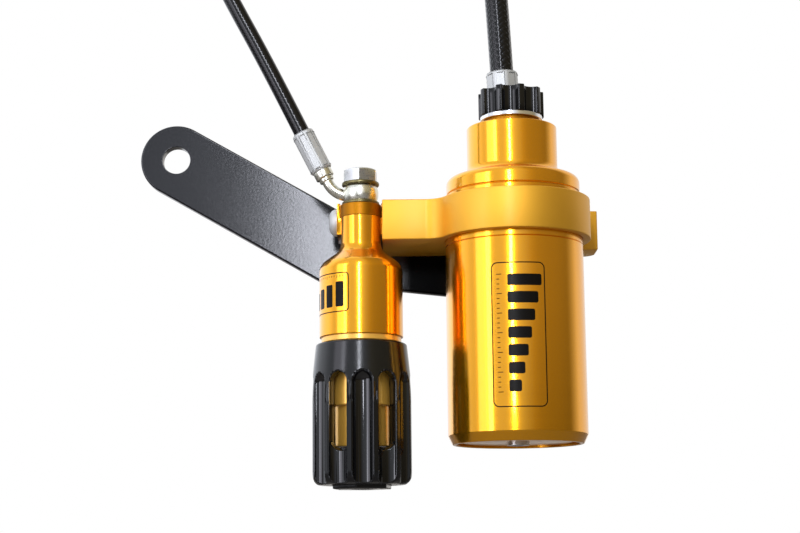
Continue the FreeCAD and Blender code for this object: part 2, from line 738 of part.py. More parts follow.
def make_reservoir_hose(stem_bottom):
    """Hose nipple through the knob, the ferrule, the hose and its far fitting."""
    x = reservoir_x
    y = axis_y
    step_low = small_knob_bottom + small_knob_floor + nipple_step_gap
    step_high = step_low + nipple_step_height
    stem = rod(x, y, stem_bottom, step_high, nipple_radius)
    step = rod(x - hose_offset / 2, y, step_low, step_high, nipple_radius + hose_offset / 2)
    direction = lean_left(hose_lean)
    foot = V(x - hose_offset, y, step_high)
    passage = rod(x, y, stem_bottom - 1, step_low + 1, nipple_bore)
    slant = Part.makeCylinder(nipple_bore, 4.0, foot - UP * 2, direction)
    nodes["hose_nipple"] = stem.fuse(step).cut(passage).cut(slant).removeSplitter()
    ferrule = crimped_ferrule(hose_ferrule_radius, hose_ferrule_length, nipple_bore)
    lift = direction * (hose_ferrule_radius * math.sin(math.radians(hose_lean)) + 0.02)
    nodes["reservoir_hose_ferrule"] = aimed(ferrule, foot + lift, direction)
    start = foot + lift + direction * hose_ferrule_length
    route = [start, start + V(-1.5, 0, 33.0), start + V(-4.4, 1.0, 68.5), start + V(-11.0, 4.0, 103.8),
             start + V(-20.5, 9.0, 136.0)]
    hose, end = cord(route, reservoir_hose_diameter, "reservoir hose")
    nodes["reservoir_hose"] = hose
    ferrule, fitting = far_end(route[-1], end, hose_ferrule_radius, far_ferrule_length, far_eye_radius,
                               far_eye_width, far_eye_bore, "reservoir hose")
    nodes["reservoir_hose_far_ferrule"] = ferrule
    nodes["reservoir_hose_far_eye"] = fitting


def make_adjuster_body():
    """Body of the preload adjuster with its neck, rear lug and port bush."""
    x = adjuster_x
    y = axis_y
    edge = shoulder_round
    body = turned(x, y, [(0, body_bottom), (adjuster_radius, body_bottom),
                         (adjuster_radius, shoulder_bottom - edge * 0.57),
                         (adjuster_radius - edge * 0.25, shoulder_bottom + edge * 0.36, adjuster_radius - edge,
                          shoulder_bottom + edge),
                         (neck_radius + edge, shoulder_top - edge * 0.86),
                         (neck_radius + edge * 0.25, shoulder_top - edge * 0.25, neck_radius,
                          shoulder_top + edge * 0.57),
                         (neck_radius, neck_top), (0, neck_top)])
    lug = block(V(x - lug_left_reach, y, arm_top - lug_height), V(x + lug_right_reach, y + lug_depth, arm_top))
    body = body.fuse(lug)
    body = body.cut(rod(x, y, neck_top, arm_top + 1, port_bush_radius + 0.1))
    body = body.cut(rod(x, y, neck_top - port_bush_thread_length, neck_top + 1, port_bush_thread + thread_gap))
    body = body.cut(rod(x, y, chamber_top - 1, neck_top, oil_way_radius))
    body = body.cut(rod(x, y, body_bottom - 1, chamber_top, chamber_radius))
    body = body.cut(rod(x, y, body_bottom - 1, chamber_bottom, sleeve_thread_radius + thread_gap))
    left_face = V(x - lug_left_reach, y + fixing_screw_setback, fixing_height)
    span = lug_left_reach + lug_right_reach
    body = body.cut(Part.makeCylinder(fixing_screw_diameter / 2 + screw_hole_gap, span, left_face, RIGHT))
    nodes["adjuster_body"] = body.removeSplitter()
    screw = socket_screw(fixing_screw_diameter / 2, fixing_screw_length, fixing_screw_head_radius,
                         fixing_screw_head_height, True)
    nodes["adjuster_fixing_screw"] = aimed(screw, left_face, -RIGHT)
    bush = rod(x, y, neck_top, adjuster_top, port_bush_radius)
    bush = bush.fuse(rod(x, y, neck_top - port_bush_thread_length, neck_top, port_bush_thread))
    bore = banjo_bolt_radius + thread_gap
    bush = bush.cut(rod(x, y, neck_top - port_bush_thread_length - 1, adjuster_top + 1, bore))
    nodes["port_bush"] = bush.removeSplitter()


def make_preload_works():
    """Sleeve, spindle, hexagon-guided piston, thrust washer and seals."""
    x = adjuster_x
    y = axis_y
    sleeve = rod(x, y, body_bottom, chamber_bottom, sleeve_thread_radius)
    sleeve = sleeve.fuse(rod(x, y, flange_bottom, body_bottom, sleeve_flange_radius))
    sleeve = sleeve.fuse(rod(x, y, sleeve_step, flange_bottom, sleeve_upper_radius))
    sleeve = sleeve.fuse(rod(x, y, sleeve_bottom, sleeve_step, sleeve_lower_radius))
    hex_low = chamber_bottom - sleeve_hex_length
    sleeve = sleeve.cut(prism(x, y, hex_low - 1, chamber_bottom + 1, piston_hex_flats + hex_slide_gap * 2))
    sleeve = sleeve.cut(rod(x, y, sleeve_ledge, hex_low, sleeve_bore_radius))
    sleeve = sleeve.cut(rod(x, y, sleeve_bottom - 1, sleeve_ledge, journal_radius + running_gap))
    pocket_z = knob_top - knob_lip_height / 2
    pocket_place = V(x, y + sleeve_upper_radius - detent_pocket_depth, pocket_z)
    pocket_radius = detent_ball_radius + running_gap
    sleeve = sleeve.cut(Part.makeCylinder(pocket_radius, detent_pocket_depth + 1, pocket_place, BACK))
    nodes["adjuster_sleeve"] = sleeve.removeSplitter()
    ball_reach = sleeve_upper_radius - detent_ball_radius - running_gap
    nodes["preload_detent_ball"] = Part.makeSphere(detent_ball_radius, V(x, y + ball_reach, pocket_z))
    spring_length = ball_reach - detent_ball_radius - sleeve_upper_radius + detent_pocket_depth
    spring = Part.makeCylinder(detent_ball_radius, spring_length, pocket_place, BACK)
    core = Part.makeCylinder(detent_ball_radius / 2, spring_length, pocket_place, BACK)
    nodes["preload_detent_spring"] = spring.cut(core)

    piston_low = chamber_bottom + preload_piston_rest
    piston_high = piston_low + preload_piston_height
    fit_radius = chamber_radius - running_gap
    seal_z = piston_low + preload_piston_height / 2
    piston = rod(x, y, piston_low, piston_high, fit_radius)
    piston = piston.cut(seal_groove(x, y, seal_z, fit_radius))
    piston = piston.fuse(prism(x, y, piston_low - preload_piston_hub, piston_low, piston_hex_flats))
    thread_low = piston_low - preload_piston_hub - 1
    thread = rod(x, y, thread_low, piston_high - preload_piston_skin, spindle_thread_radius + running_gap)
    nodes["adjuster_piston"] = piston.cut(thread).removeSplitter()
    nodes["adjuster_piston_seal"] = seal(x, y, seal_z, fit_radius)

    washer_low = sleeve_ledge
    washer_high = washer_low + thrust_washer_height
    nodes["thrust_washer"] = ring(x, y, washer_low, washer_high, sleeve_bore_radius - running_gap,
                                  journal_radius + running_gap)
    collar_low = washer_high + running_gap
    journal_end = knob_floor_top - knob_floor / 2
    collar_radius_here = sleeve_bore_radius - spindle_collar_gap
    spindle = rod(x, y, journal_end, collar_low, journal_radius)
    spindle = spindle.fuse(rod(x, y, collar_low, collar_low + spindle_collar_height, collar_radius_here))
    spindle = spindle.fuse(rod(x, y, collar_low, body_bottom + spindle_above_flange, spindle_thread_radius))
    screw_bore = rod(x, y, journal_end - 1, journal_end + knob_screw_bite + 1, knob_screw_radius + thread_gap)
    nodes["adjuster_spindle"] = spindle.cut(screw_bore).removeSplitter()
    return journal_end


def make_adjuster_knob(journal_end):
    """Fluted knob with windows in every second flute and a hexagon at its foot."""
    x = adjuster_x
    y = axis_y
    corner_z = knob_bottom + knob_corner_height
    knob = turned(x, y, [(0, knob_bottom), (knob_radius - knob_corner_depth, knob_bottom),
                         (knob_radius - knob_corner_depth * 0.3, knob_bottom + knob_corner_height * 0.28,
                          knob_radius, corner_z),
                         (knob_radius, knob_top - knob_widest_drop),
                         (knob_middle_radius, knob_top - knob_middle_drop),
                         (knob_top_radius + knob_rim_round / 2, knob_top - knob_rim_round),
                         (knob_top_radius, knob_top), (0, knob_top)])
    flute_reach = knob_radius + flute_radius - flute_depth
    flute_top = knob_top - flute_top_drop - flute_radius
    window_reach = knob_radius + 1
    for i in range(flute_count):
        angle = math.radians(flute_turn - 90.0) + 2 * math.pi * i / flute_count
        way = V(math.cos(angle), math.sin(angle), 0)
        place = V(x, y, 0) + way * flute_reach
        knob = knob.cut(rod(place.x, place.y, knob_bottom - 1, flute_top, flute_radius))
        knob = knob.cut(Part.makeSphere(flute_radius, V(place.x, place.y, flute_top)))
    for i in range(1, flute_count, 2):
        angle = math.radians(flute_turn - 90.0) + 2 * math.pi * i / flute_count
        way = V(math.cos(angle), math.sin(angle), 0)
        half = window_width / 2
        top = knob_top - window_top_drop - half
        low = knob_top - window_top_drop - window_length + half
        start = V(x, y, 0) + way * (sleeve_upper_radius - 0.5)
        span = window_reach - sleeve_upper_radius
        for level in (top, low):
            knob = knob.cut(Part.makeCylinder(half, span, V(start.x, start.y, level), way))
        slot = Part.makeBox(span, window_width, top - low, V(0, -half, 0))
        slot.rotate(V(0, 0, 0), UP, math.degrees(angle))
        slot.translate(V(start.x, start.y, low))
        knob = knob.cut(slot)
    lip_low = knob_top - knob_lip_height
    knob = knob.cut(rod(x, y, knob_floor_top, lip_low, knob_cavity_radius))
    knob = knob.cut(rod(x, y, lip_low - 1, knob_top + 1, sleeve_upper_radius + running_gap * 2))
    hex_bottom = knob_bottom - hex_boss_height
    knob = knob.fuse(prism(x, y, hex_bottom, knob_bottom + 1, hex_boss_flats, 6, hex_boss_turn))
    knob = knob.cut(rod(x, y, journal_end, knob_floor_top + 1, journal_radius + thread_gap))
    head_seat = hex_bottom + knob_screw_recess
    knob = knob.cut(rod(x, y, head_seat - 1, journal_end + 1, knob_screw_radius + screw_hole_gap))
    knob = knob.cut(rod(x, y, hex_bottom - 1, head_seat, knob_screw_head_radius + screw_hole_gap))
    nodes["adjuster_knob"] = knob.removeSplitter()
    length = journal_end - head_seat + knob_screw_bite
    screw = socket_screw(knob_screw_radius, length, knob_screw_head_radius, knob_screw_head_height, False)
    nodes["knob_screw"] = aimed(screw, V(x, y, head_seat), -UP)


def make_banjo():
    """Banjo bolt, crush washers and the eye with its bent pipe."""
    x = adjuster_x
    y = axis_y
    bore = banjo_bolt_radius + banjo_bolt_gap
    lower = ring(x, y, adjuster_top, washer_top, banjo_washer_radius, bore)
    upper = ring(x, y, eye_top, banjo_head_bottom, banjo_washer_radius, bore)
    nodes["banjo_washers"] = Part.makeCompound([lower, upper])
    head_top_z = banjo_head_bottom + banjo_head_height
    head = prism(x, y, banjo_head_bottom, head_top_z, banjo_head_flats, 6, 90.0 - banjo_bolt_turn)
    chamfer = turned(x, y, [(0, banjo_head_bottom), (banjo_head_flats, banjo_head_bottom),
                            (banjo_head_flats, head_top_z - banjo_head_corner_height),
                            (banjo_head_flats / 2 * banjo_head_top_share, head_top_z), (0, head_top_z)])
    head = head.common(chamfer)
    shank_low = neck_top - port_bush_thread_length + banjo_bolt_end_gap
    bolt = head.fuse(rod(x, y, shank_low, banjo_head_bottom, banjo_bolt_radius))
    eye_middle = washer_top + eye_height / 2
    bolt = bolt.cut(rod(x, y, shank_low - 1, eye_middle, pipe_bore))
    cross_start = V(x - banjo_bolt_radius - 1, y, eye_middle)
    cross = Part.makeCylinder(pipe_bore, banjo_bolt_radius * 2 + 2, cross_start, RIGHT)
    nodes["banjo_bolt"] = bolt.cut(cross).removeSplitter()

    ball = Part.makeSphere(eye_ball_radius, V(x, y, eye_middle))
    ball = ball.common(rod(x, y, washer_top, eye_top, eye_ball_radius + 1))
    direction = lean_left(pipe_lean)
    corner = V(x - pipe_corner_reach, y, eye_middle - pipe_drop)
    half_turn = math.radians(90.0 - pipe_lean) / 2
    reach = pipe_bend_radius * math.tan(half_turn)
    bend_start = corner + RIGHT * reach
    bend_end = corner + direction * reach
    towards = (RIGHT + direction).normalize()
    bend_middle = corner + towards * (pipe_bend_radius / math.cos(half_turn) - pipe_bend_radius)
    inner_end = V(x - banjo_bolt_radius + 1, y, corner.z)
    socket_end = corner + direction * preload_ferrule_start
    path_edges = [Part.Arc(bend_start, bend_middle, bend_end).toShape(),
                  Part.LineSegment(bend_end, socket_end).toShape()]
    if bend_start.x < inner_end.x - 0.01:
        path_edges.insert(0, Part.LineSegment(inner_end, bend_start).toShape())
    path = Part.Wire(path_edges)
    eye = ball.fuse(swept(path, pipe_radius))
    collar_length = pipe_socket_start - pipe_collar_start
    collar = Part.makeCylinder(pipe_collar_radius, collar_length)
    eye = eye.fuse(aimed(collar, corner + direction * pipe_collar_start, direction))
    socket = Part.makeCylinder(pipe_socket_radius, preload_ferrule_start - pipe_socket_start)
    eye = eye.fuse(aimed(socket, corner + direction * pipe_socket_start, direction))
    eye = eye.cut(swept(path, pipe_bore))
    eye = eye.cut(rod(x, y, washer_top - 1, eye_top + 1, bore))
    nodes["banjo_eye"] = eye.removeSplitter()
    return socket_end, direction


def make_preload_hose(start, direction):
    """Ferrule, hose and far fitting of the preload hose."""
    ferrule = crimped_ferrule(preload_ferrule_radius, preload_ferrule_length, pipe_bore)
    nodes["preload_hose_ferrule"] = aimed(ferrule, start, direction)
    top = start + direction * preload_ferrule_length
    route = [top, top + V(-13.4, 0, 27.2), top + V(-28.6, 0.5, 55.6), top + V(-43.2, 2.5, 86.0),
             top + V(-53.6, 6.0, 118.2), top + V(-59.0, 11.0, 150.2)]
    hose, end = cord(route, preload_hose_diameter, "preload hose")
    nodes["preload_hose"] = hose
    ferrule, fitting = far_end(route[-1], end, preload_ferrule_radius, preload_ferrule_length,
                               preload_far_eye_radius, preload_far_eye_width, preload_far_eye_bore,
                               "preload hose")
    nodes["preload_hose_far_ferrule"] = ferrule
    nodes["preload_hose_far_eye"] = fitting


make_strap()
make_clamp_arm()
make_reservoir_tube()
make_reservoir_head()
make_reservoir_hose(make_compression_valve())
make_compression_knob()
make_adjuster_body()
make_adjuster_knob(make_preload_works())
make_preload_hose(*make_banjo())

for name, shape in nodes.items():
    if not shape.isValid():
        print("not valid:", name)
    shape.exportStep("parts/" + name + ".step")
print(len(nodes), "nodes")
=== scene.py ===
"""Looks of the remote unit of a rear shock absorber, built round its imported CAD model.

Every length in the piece classes is in millimetres and is turned into metres where a mesh is made.
"""

import logging
import math
from dataclasses import dataclass
from enum import Enum
from typing import Iterable, Optional, Sequence, Union

import bmesh
import bpy
from mathutils import Matrix, Vector


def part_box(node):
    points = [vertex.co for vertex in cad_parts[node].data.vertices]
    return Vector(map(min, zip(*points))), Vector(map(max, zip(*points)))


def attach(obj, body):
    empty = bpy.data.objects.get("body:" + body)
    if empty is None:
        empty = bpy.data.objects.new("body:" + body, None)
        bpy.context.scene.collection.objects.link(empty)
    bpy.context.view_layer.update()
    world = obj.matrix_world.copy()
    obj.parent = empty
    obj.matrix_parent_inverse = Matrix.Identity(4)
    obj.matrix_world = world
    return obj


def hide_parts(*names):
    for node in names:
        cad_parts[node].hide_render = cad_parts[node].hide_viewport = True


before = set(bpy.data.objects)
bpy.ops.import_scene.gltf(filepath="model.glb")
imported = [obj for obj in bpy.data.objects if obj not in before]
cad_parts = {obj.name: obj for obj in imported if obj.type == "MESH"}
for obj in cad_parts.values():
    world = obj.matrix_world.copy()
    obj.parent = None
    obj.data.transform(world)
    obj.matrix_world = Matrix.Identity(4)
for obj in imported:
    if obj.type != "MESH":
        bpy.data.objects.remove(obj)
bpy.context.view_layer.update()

Point2 = tuple[float, float]
Point3 = tuple[float, float, float]
Colour = tuple[float, float, float]
Profile = Sequence[Sequence[float]]
Value = Union[float, bpy.types.NodeSocket]
Shade = Union[Colour, bpy.types.NodeSocket]

MM = 0.001
LATHE_STEPS = 128
SAME_PLACE = 1e-4  # corners closer than this, in millimetres, are one
PAST = 1.0  # how far a cutter reaches past the face that it cuts, in millimetres

logging.basicConfig(level=logging.INFO, format="%(name)s: %(message)s")
log = logging.getLogger("scene")


# ---------------------------------------------------------------- node graphs


class Graph:
    """Adds nodes to a node tree and links them."""

    column_width = 180

    def __init__(self, tree: bpy.types.NodeTree) -> None:
        """Starts a graph.

        Args:
            tree: The node tree that gets the nodes.
        """
        self.tree = tree
        self.column = 0

    def feed(self, node: bpy.types.Node, inputs: dict) -> None:
        """Sets or links inputs of a node.

        Args:
            node: The node.
            inputs: Values or output sockets by the input's name or index.
        """
        for key, value in inputs.items():
            if isinstance(value, bpy.types.NodeSocket):
                self.tree.links.new(value, node.inputs[key])
            else:
                node.inputs[key].default_value = value

    def add(self, kind: str, inputs: Optional[dict] = None, **settings: object) -> bpy.types.Node:
        """Adds a node.

        Args:
            kind: The node's type name.
            inputs: Values or output sockets by the input's name or index.
            **settings: Properties of the node.

        Returns:
            The new node.
        """
        node = self.tree.nodes.new(kind)
        node.location = (self.column * self.column_width, 0)
        self.column += 1
        for name, value in settings.items():
            setattr(node, name, value)
        self.feed(node, inputs or {})
        return node

    def math(self, operation: str, first: Value, second: Value = 0.0,
             clamp: bool = False) -> bpy.types.NodeSocket:
        """Adds a Math node and gives its result, kept between 0 and 1 with clamp."""
        node = self.add("ShaderNodeMath", {0: first, 1: second}, operation=operation, use_clamp=clamp)
        return node.outputs[0]

    def weigh(self, first: Value, second: Value, share: float) -> bpy.types.NodeSocket:
        """Adds two values up, the first with a share and the second with what is left of 1."""
        return self.math("ADD", self.math("MULTIPLY", first, share),
                         self.math("MULTIPLY", second, 1.0 - share))

    def spread(self, value: Value, low: float, high: float, to_low: float = 0.0,
               to_high: float = 1.0) -> bpy.types.NodeSocket:
        """Carries a value from one range to another, smoothly and clamped.

        Args:
            value: Socket with the value.
            low: Start of its range.
            high: End of its range.
            to_low: Start of the new range.
            to_high: End of the new range.

        Returns:
            The result's socket.
        """
        node = self.add("ShaderNodeMapRange", {"Value": value, "From Min": low, "From Max": high,
                                               "To Min": to_low, "To Max": to_high},
                        interpolation_type="SMOOTHSTEP")
        return node.outputs["Result"]

    def noise(self, place: dict[str, Value], scale: Value, detail: float, roughness: float,
              dimensions: str = "3D") -> bpy.types.NodeSocket:
        """Adds noise.

        Args:
            place: Where it is read, by the name of the input.
            scale: How fine it is.
            detail: Number of its finer layers.
            roughness: Weight of each finer layer.
            dimensions: Number of coordinates, as the node names it.

        Returns:
            The noise's socket.
        """
        node = self.add("ShaderNodeTexNoise", {**place, "Scale": scale, "Detail": detail,
                                               "Roughness": roughness}, noise_dimensions=dimensions)
        return node.outputs[0]

    def blend(self, share: Value, first: Shade, second: Shade) -> bpy.types.NodeSocket:
        """Mixes two colours.

        Args:
            share: Value or socket, 0 for the first colour and 1 for the second.
            first: Colour or socket.
            second: Colour or socket.

        Returns:
            The mixed colour's socket.
        """
        ends = [shade if isinstance(shade, bpy.types.NodeSocket) else (*shade, 1.0)
                for shade in (first, second)]
        node = self.add("ShaderNodeMix", {0: share, 6: ends[0], 7: ends[1]}, data_type="RGBA")
        return node.outputs[2]


class SurfaceEffects:
    """The node groups that the finishes share, each built once."""

    def __init__(self) -> None:
        """Builds every group."""
        self.turning = self._turning_lines()
        self.grain = self._grain()
        self.edge = self._edge_wear()
        self.braid = self._braid()

    @staticmethod
    def _group(name: str, inputs: dict[str, float],
               outputs: Sequence[str] = ("Tone", "Normal")) -> tuple[Graph, bpy.types.Node, bpy.types.Node]:
        """Starts a node group that reads a place on the surface.

        Args:
            name: Name of the group.
            inputs: Names and defaults of the numbers that it takes besides the place.
            outputs: Names of what it puts out.

        Returns:
            Its graph, its input node and its output node.
        """
        tree = bpy.data.node_groups.new(name, "ShaderNodeTree")
        tree.interface.new_socket("Vector", in_out="INPUT", socket_type="NodeSocketVector")
        for label, value in inputs.items():
            socket = tree.interface.new_socket(label, in_out="INPUT", socket_type="NodeSocketFloat")
            socket.default_value = value
        for label in outputs:
            kind = "NodeSocketVector" if label == "Normal" else "NodeSocketFloat"
            tree.interface.new_socket(label, in_out="OUTPUT", socket_type=kind)
        graph = Graph(tree)
        return graph, graph.add("NodeGroupInput"), graph.add("NodeGroupOutput")

    @staticmethod
    def _relief(graph: Graph, source: bpy.types.Node, sink: bpy.types.Node, tone: bpy.types.NodeSocket,
                height: bpy.types.NodeSocket) -> bpy.types.NodeTree:
        """Ends a group with its tone and its relief.

        Args:
            graph: The group's graph.
            source: Its input node, which has the depth of the relief.
            sink: Its output node.
            tone: What goes out as Tone.
            height: Height of the relief from 0 to 1, which goes out as Normal.

        Returns:
            The finished group.
        """
        bump = graph.add("ShaderNodeBump", {"Strength": 1.0, "Distance": source.outputs["Depth"],
                                            "Height": height})
        graph.feed(sink, {"Tone": tone, "Normal": bump.outputs[0]})
        return graph.tree

    def _turning_lines(self) -> bpy.types.NodeTree:
        """Fine lines that a lathe tool leaves round an upright axis.

        Returns:
            The group, with Tone and Normal outputs.
        """
        fine_share, broad_scale = 0.55, 0.09
        graph, source, sink = self._group("turning_lines", {"Spacing": 0.0004, "Depth": 0.000004})
        height = graph.add("ShaderNodeSeparateXYZ", {0: source.outputs["Vector"]}).outputs["Z"]
        along = {"W": graph.math("DIVIDE", height, source.outputs["Spacing"])}
        fine = graph.noise(along, 1.0, detail=3.0, roughness=0.65, dimensions="1D")
        broad = graph.noise(along, broad_scale, detail=2.0, roughness=0.5, dimensions="1D")
        return self._relief(graph, source, sink, graph.weigh(fine, broad, fine_share), fine)

    def _grain(self) -> bpy.types.NodeTree:
        """Even fine grain of a blasted, coated or moulded surface.

        Returns:
            The group, with Tone and Normal outputs.
        """
        fine_share, wide_scale = 0.6, 0.02
        graph, source, sink = self._group("fine_grain", {"Scale": 2500.0, "Depth": 0.00002})
        place = {"Vector": source.outputs["Vector"]}
        fine = graph.noise(place, source.outputs["Scale"], detail=3.0, roughness=0.6)
        scale = graph.math("MULTIPLY", source.outputs["Scale"], wide_scale)
        wide = graph.noise(place, scale, detail=2.0, roughness=0.5)
        return self._relief(graph, source, sink, graph.weigh(fine, wide, fine_share), fine)

    def _edge_wear(self) -> bpy.types.NodeTree:
        """Mask that is 1 on outer edges, broken up by noise.

        Returns:
            The group, with a Mask output.
        """
        flat, sharp = 0.995, 0.86
        patch_scale, patch_low, patch_high, least = 420.0, 0.42, 0.6, 0.35
        graph, source, sink = self._group("edge_wear", {"Width": 0.0004}, ("Mask",))
        rounded = graph.add("ShaderNodeBevel", {"Radius": source.outputs["Width"]}, samples=4)
        plain = graph.add("ShaderNodeNewGeometry")
        likeness = graph.add("ShaderNodeVectorMath", {0: rounded.outputs[0], 1: plain.outputs["Normal"]},
                             operation="DOT_PRODUCT")
        edge = graph.spread(likeness.outputs["Value"], flat, sharp)
        patches = graph.noise({"Vector": source.outputs["Vector"]}, patch_scale, detail=3.0, roughness=0.7)
        broken = graph.spread(patches, patch_low, patch_high, least, 1.0)
        graph.feed(sink, {"Mask": graph.math("MULTIPLY", edge, broken)})
        return graph.tree

    def _braid(self) -> bpy.types.NodeTree:
        """Two sets of strands that cross, on a tube's own map with U along it and V round it.

        Returns:
            The group, with Tone and Normal outputs.
        """
        crown = 0.1
        graph, source, sink = self._group("braided_layer", {"Along": 60.0, "Around": 8.0, "Depth": 0.0001})
        place = graph.add("ShaderNodeSeparateXYZ", {0: source.outputs["Vector"]})
        along = graph.math("MULTIPLY", place.outputs["X"], source.outputs["Along"])
        around = graph.math("MULTIPLY", place.outputs["Y"], source.outputs["Around"])
        strands = []
        for way in ("ADD", "SUBTRACT"):
            share = graph.math("FRACT", graph.math(way, along, around))
            middle = graph.math("ABSOLUTE", graph.math("SUBTRACT", share, 0.5))
            strands.append(graph.spread(middle, 0.5, crown))
        over = graph.math("GREATER_THAN", graph.math("SINE", graph.math("MULTIPLY", along, 2 * math.pi)), 0.0)
        under = graph.math("SUBTRACT", 1.0, over)
        height = graph.math("ADD", graph.math("MULTIPLY", strands[0], over),
                            graph.math("MULTIPLY", strands[1], under))
        return self._relief(graph, source, sink, height, height)


# ---------------------------------------------------------------- finishes


TONE_RANGE: Point2 = (0.3, 0.7)  # part of a pattern's tone that is used
ACROSS_THE_LINES = 0.25  # turn of a highlight that lies across the turning lines
PAINTED_SHADE_LIGHT = 0.04  # light that the painted deep shade leaves
# near-black colour of the painted deep shade
PAINTED_SHADE_COLOUR: Colour = (0.0005, 0.0005, 0.0005)


class Pattern(Enum):
    """Patterns that a finish can have."""

    TURNED = "lines that a lathe leaves"
    GRAIN = "even grain"
    BRAID = "crossed strands"


@dataclass(frozen=True)
class Finish:
    """A surface finish, made into one material the first time it is used.

    Attributes:
        name: Name of the material.
        colour: Linear base colour.
        dark: Linear colour that the pattern mixes in.
        metallic: 1 for bare or anodised metal.
        roughness: Middle roughness.
        roughness_swing: How far the pattern moves the roughness.
        coat: Weight of the clear layer on top.
        coat_roughness: Roughness of that layer.
        coat_ior: Refractive index of that layer.
        pattern: Its pattern.
        spacing: Distance between turning lines, metres, or the grain's scale.
        depth: Height of the pattern, metres.
        tone: How strongly the pattern mixes in the dark colour.
        edge: How strongly edges go to the edge colour.
        edge_colour: Linear colour of the edges.
        edge_width: Width of the edges' rounding, metres.
        anisotropic: Stretch of the highlight across the turning lines.
        specular: Level of the plain reflection, 0.5 for most paints.
        strands: Strand counts along and round a hose.
        shade: Two places across the part, metres, between which the colour and the reflection go into painted
            deep shade.
    """

    name: str
    colour: Colour
    dark: Colour = (0.0, 0.0, 0.0)
    metallic: float = 1.0
    roughness: float = 0.3
    roughness_swing: float = 0.1
    coat: float = 0.0
    coat_roughness: float = 0.1
    coat_ior: float = 1.5
    pattern: Pattern = Pattern.GRAIN
    spacing: float = 2500.0
    depth: float = 0.000004
    tone: float = 0.3
    edge: float = 0.0
    edge_colour: Colour = (0.8, 0.8, 0.8)
    edge_width: float = 0.0003
    anisotropic: float = 0.0
    specular: float = 0.5
    strands: Point2 = (60.0, 8.0)
    shade: Optional[Point2] = None

    def _pattern(self, graph: Graph, place: bpy.types.Node, effects: SurfaceEffects) -> bpy.types.Node:
        """Adds the pattern.

        Args:
            graph: The material's graph.
            place: Its texture coordinates.
            effects: The shared node groups.

        Returns:
            The pattern's node, with Tone and Normal outputs.
        """
        inputs = {"Vector": place.outputs["Object"], "Depth": self.depth}
        if self.pattern is Pattern.TURNED:
            group = effects.turning
            inputs["Spacing"] = self.spacing
        elif self.pattern is Pattern.BRAID:
            group = effects.braid
            inputs["Vector"] = place.outputs["UV"]
            inputs["Along"], inputs["Around"] = self.strands
        else:
            group = effects.grain
            inputs["Scale"] = self.spacing
        return graph.add("ShaderNodeGroup", inputs, node_tree=group)

    def build(self, effects: SurfaceEffects) -> bpy.types.Material:
        """Makes the material.

        Args:
            effects: The shared node groups.

        Returns:
            The material.
        """
        material = bpy.data.materials.new(self.name)
        material.use_nodes = True
        material.node_tree.nodes.clear()
        graph = Graph(material.node_tree)
        place = graph.add("ShaderNodeTexCoord")
        shader = graph.add("ShaderNodeBsdfPrincipled", {
            "Metallic": self.metallic, "Roughness": self.roughness, "Coat Weight": self.coat,
            "Coat Roughness": self.coat_roughness, "Coat IOR": self.coat_ior, "Anisotropic": self.anisotropic,
            "Anisotropic Rotation": ACROSS_THE_LINES, "Specular IOR Level": self.specular,
            "Base Color": (*self.colour, 1.0)})
        graph.add("ShaderNodeOutputMaterial", {"Surface": shader.outputs[0]}).is_active_output = True
        pattern = self._pattern(graph, place, effects)
        tone = pattern.outputs["Tone"]
        share = graph.math("MULTIPLY", graph.spread(tone, *TONE_RANGE, 1.0, 0.0), self.tone)
        colour = graph.blend(share, self.colour, self.dark)
        if self.edge > 0.0:
            wear = graph.add("ShaderNodeGroup", {"Vector": place.outputs["Object"], "Width": self.edge_width},
                             node_tree=effects.edge)
            worn = graph.math("MULTIPLY", wear.outputs["Mask"], self.edge, clamp=True)
            colour = graph.blend(worn, colour, self.edge_colour)
        # Painted shade: past the given places across the part the colour is painted near-black and the
        # reflection is dimmed.
        if self.shade is not None:
            across = graph.add("ShaderNodeSeparateXYZ", {0: place.outputs["Object"]}).outputs["X"]
            painted_lit_share = graph.spread(across, *self.shade, 1.0, PAINTED_SHADE_LIGHT)
            colour = graph.blend(painted_lit_share, PAINTED_SHADE_COLOUR, colour)
            graph.feed(shader, {"Specular IOR Level": graph.math("MULTIPLY", painted_lit_share, self.specular)})
        half = self.roughness_swing / 2
        rough = graph.spread(tone, *TONE_RANGE, self.roughness - half, self.roughness + half)
        graph.feed(shader, {"Base Color": colour, "Roughness": rough, "Normal": pattern.outputs["Normal"]})
        if self.anisotropic > 0.0:
            tangent = graph.add("ShaderNodeTangent", direction_type="RADIAL", axis="Z")
            graph.feed(shader, {"Tangent": tangent.outputs[0]})
        return material


GOLD: Colour = (0.88, 0.385, 0.004)
GOLD_DARK: Colour = (0.72, 0.27, 0.002)

GOLD_TURNED = Finish("gold_turned", GOLD, GOLD_DARK, metallic=0.93, roughness=0.2, roughness_swing=0.04,
                     coat=0.45, coat_roughness=0.06, coat_ior=1.6, pattern=Pattern.TURNED,
                     spacing=0.0004, depth=0.0, tone=0.04, anisotropic=0.6)
GOLD_SOFT = Finish("gold_soft", (1.0, 0.55, 0.09), (0.97, 0.48, 0.05), metallic=0.5, roughness=0.3,
                   roughness_swing=0.04, coat=0.45, coat_roughness=0.1, pattern=Pattern.TURNED,
                   spacing=0.0004, depth=0.0, tone=0.04, anisotropic=0.4)
GOLD_MATT = Finish("gold_matt", (0.82, 0.44, 0.035), (0.74, 0.37, 0.022), metallic=0.9, roughness=0.56,
                   roughness_swing=0.08, coat=0.3, coat_roughness=0.28, spacing=3200.0, depth=0.000008,
                   tone=0.16, edge=0.25, edge_colour=(0.95, 0.60, 0.15))
GOLD_DEEP = Finish("gold_deep", (0.40, 0.155, 0.003), (0.32, 0.11, 0.002), roughness=0.48,
                   pattern=Pattern.TURNED, spacing=0.0004, depth=0.0000005, tone=0.2, coat=0.1,
                   coat_roughness=0.3)
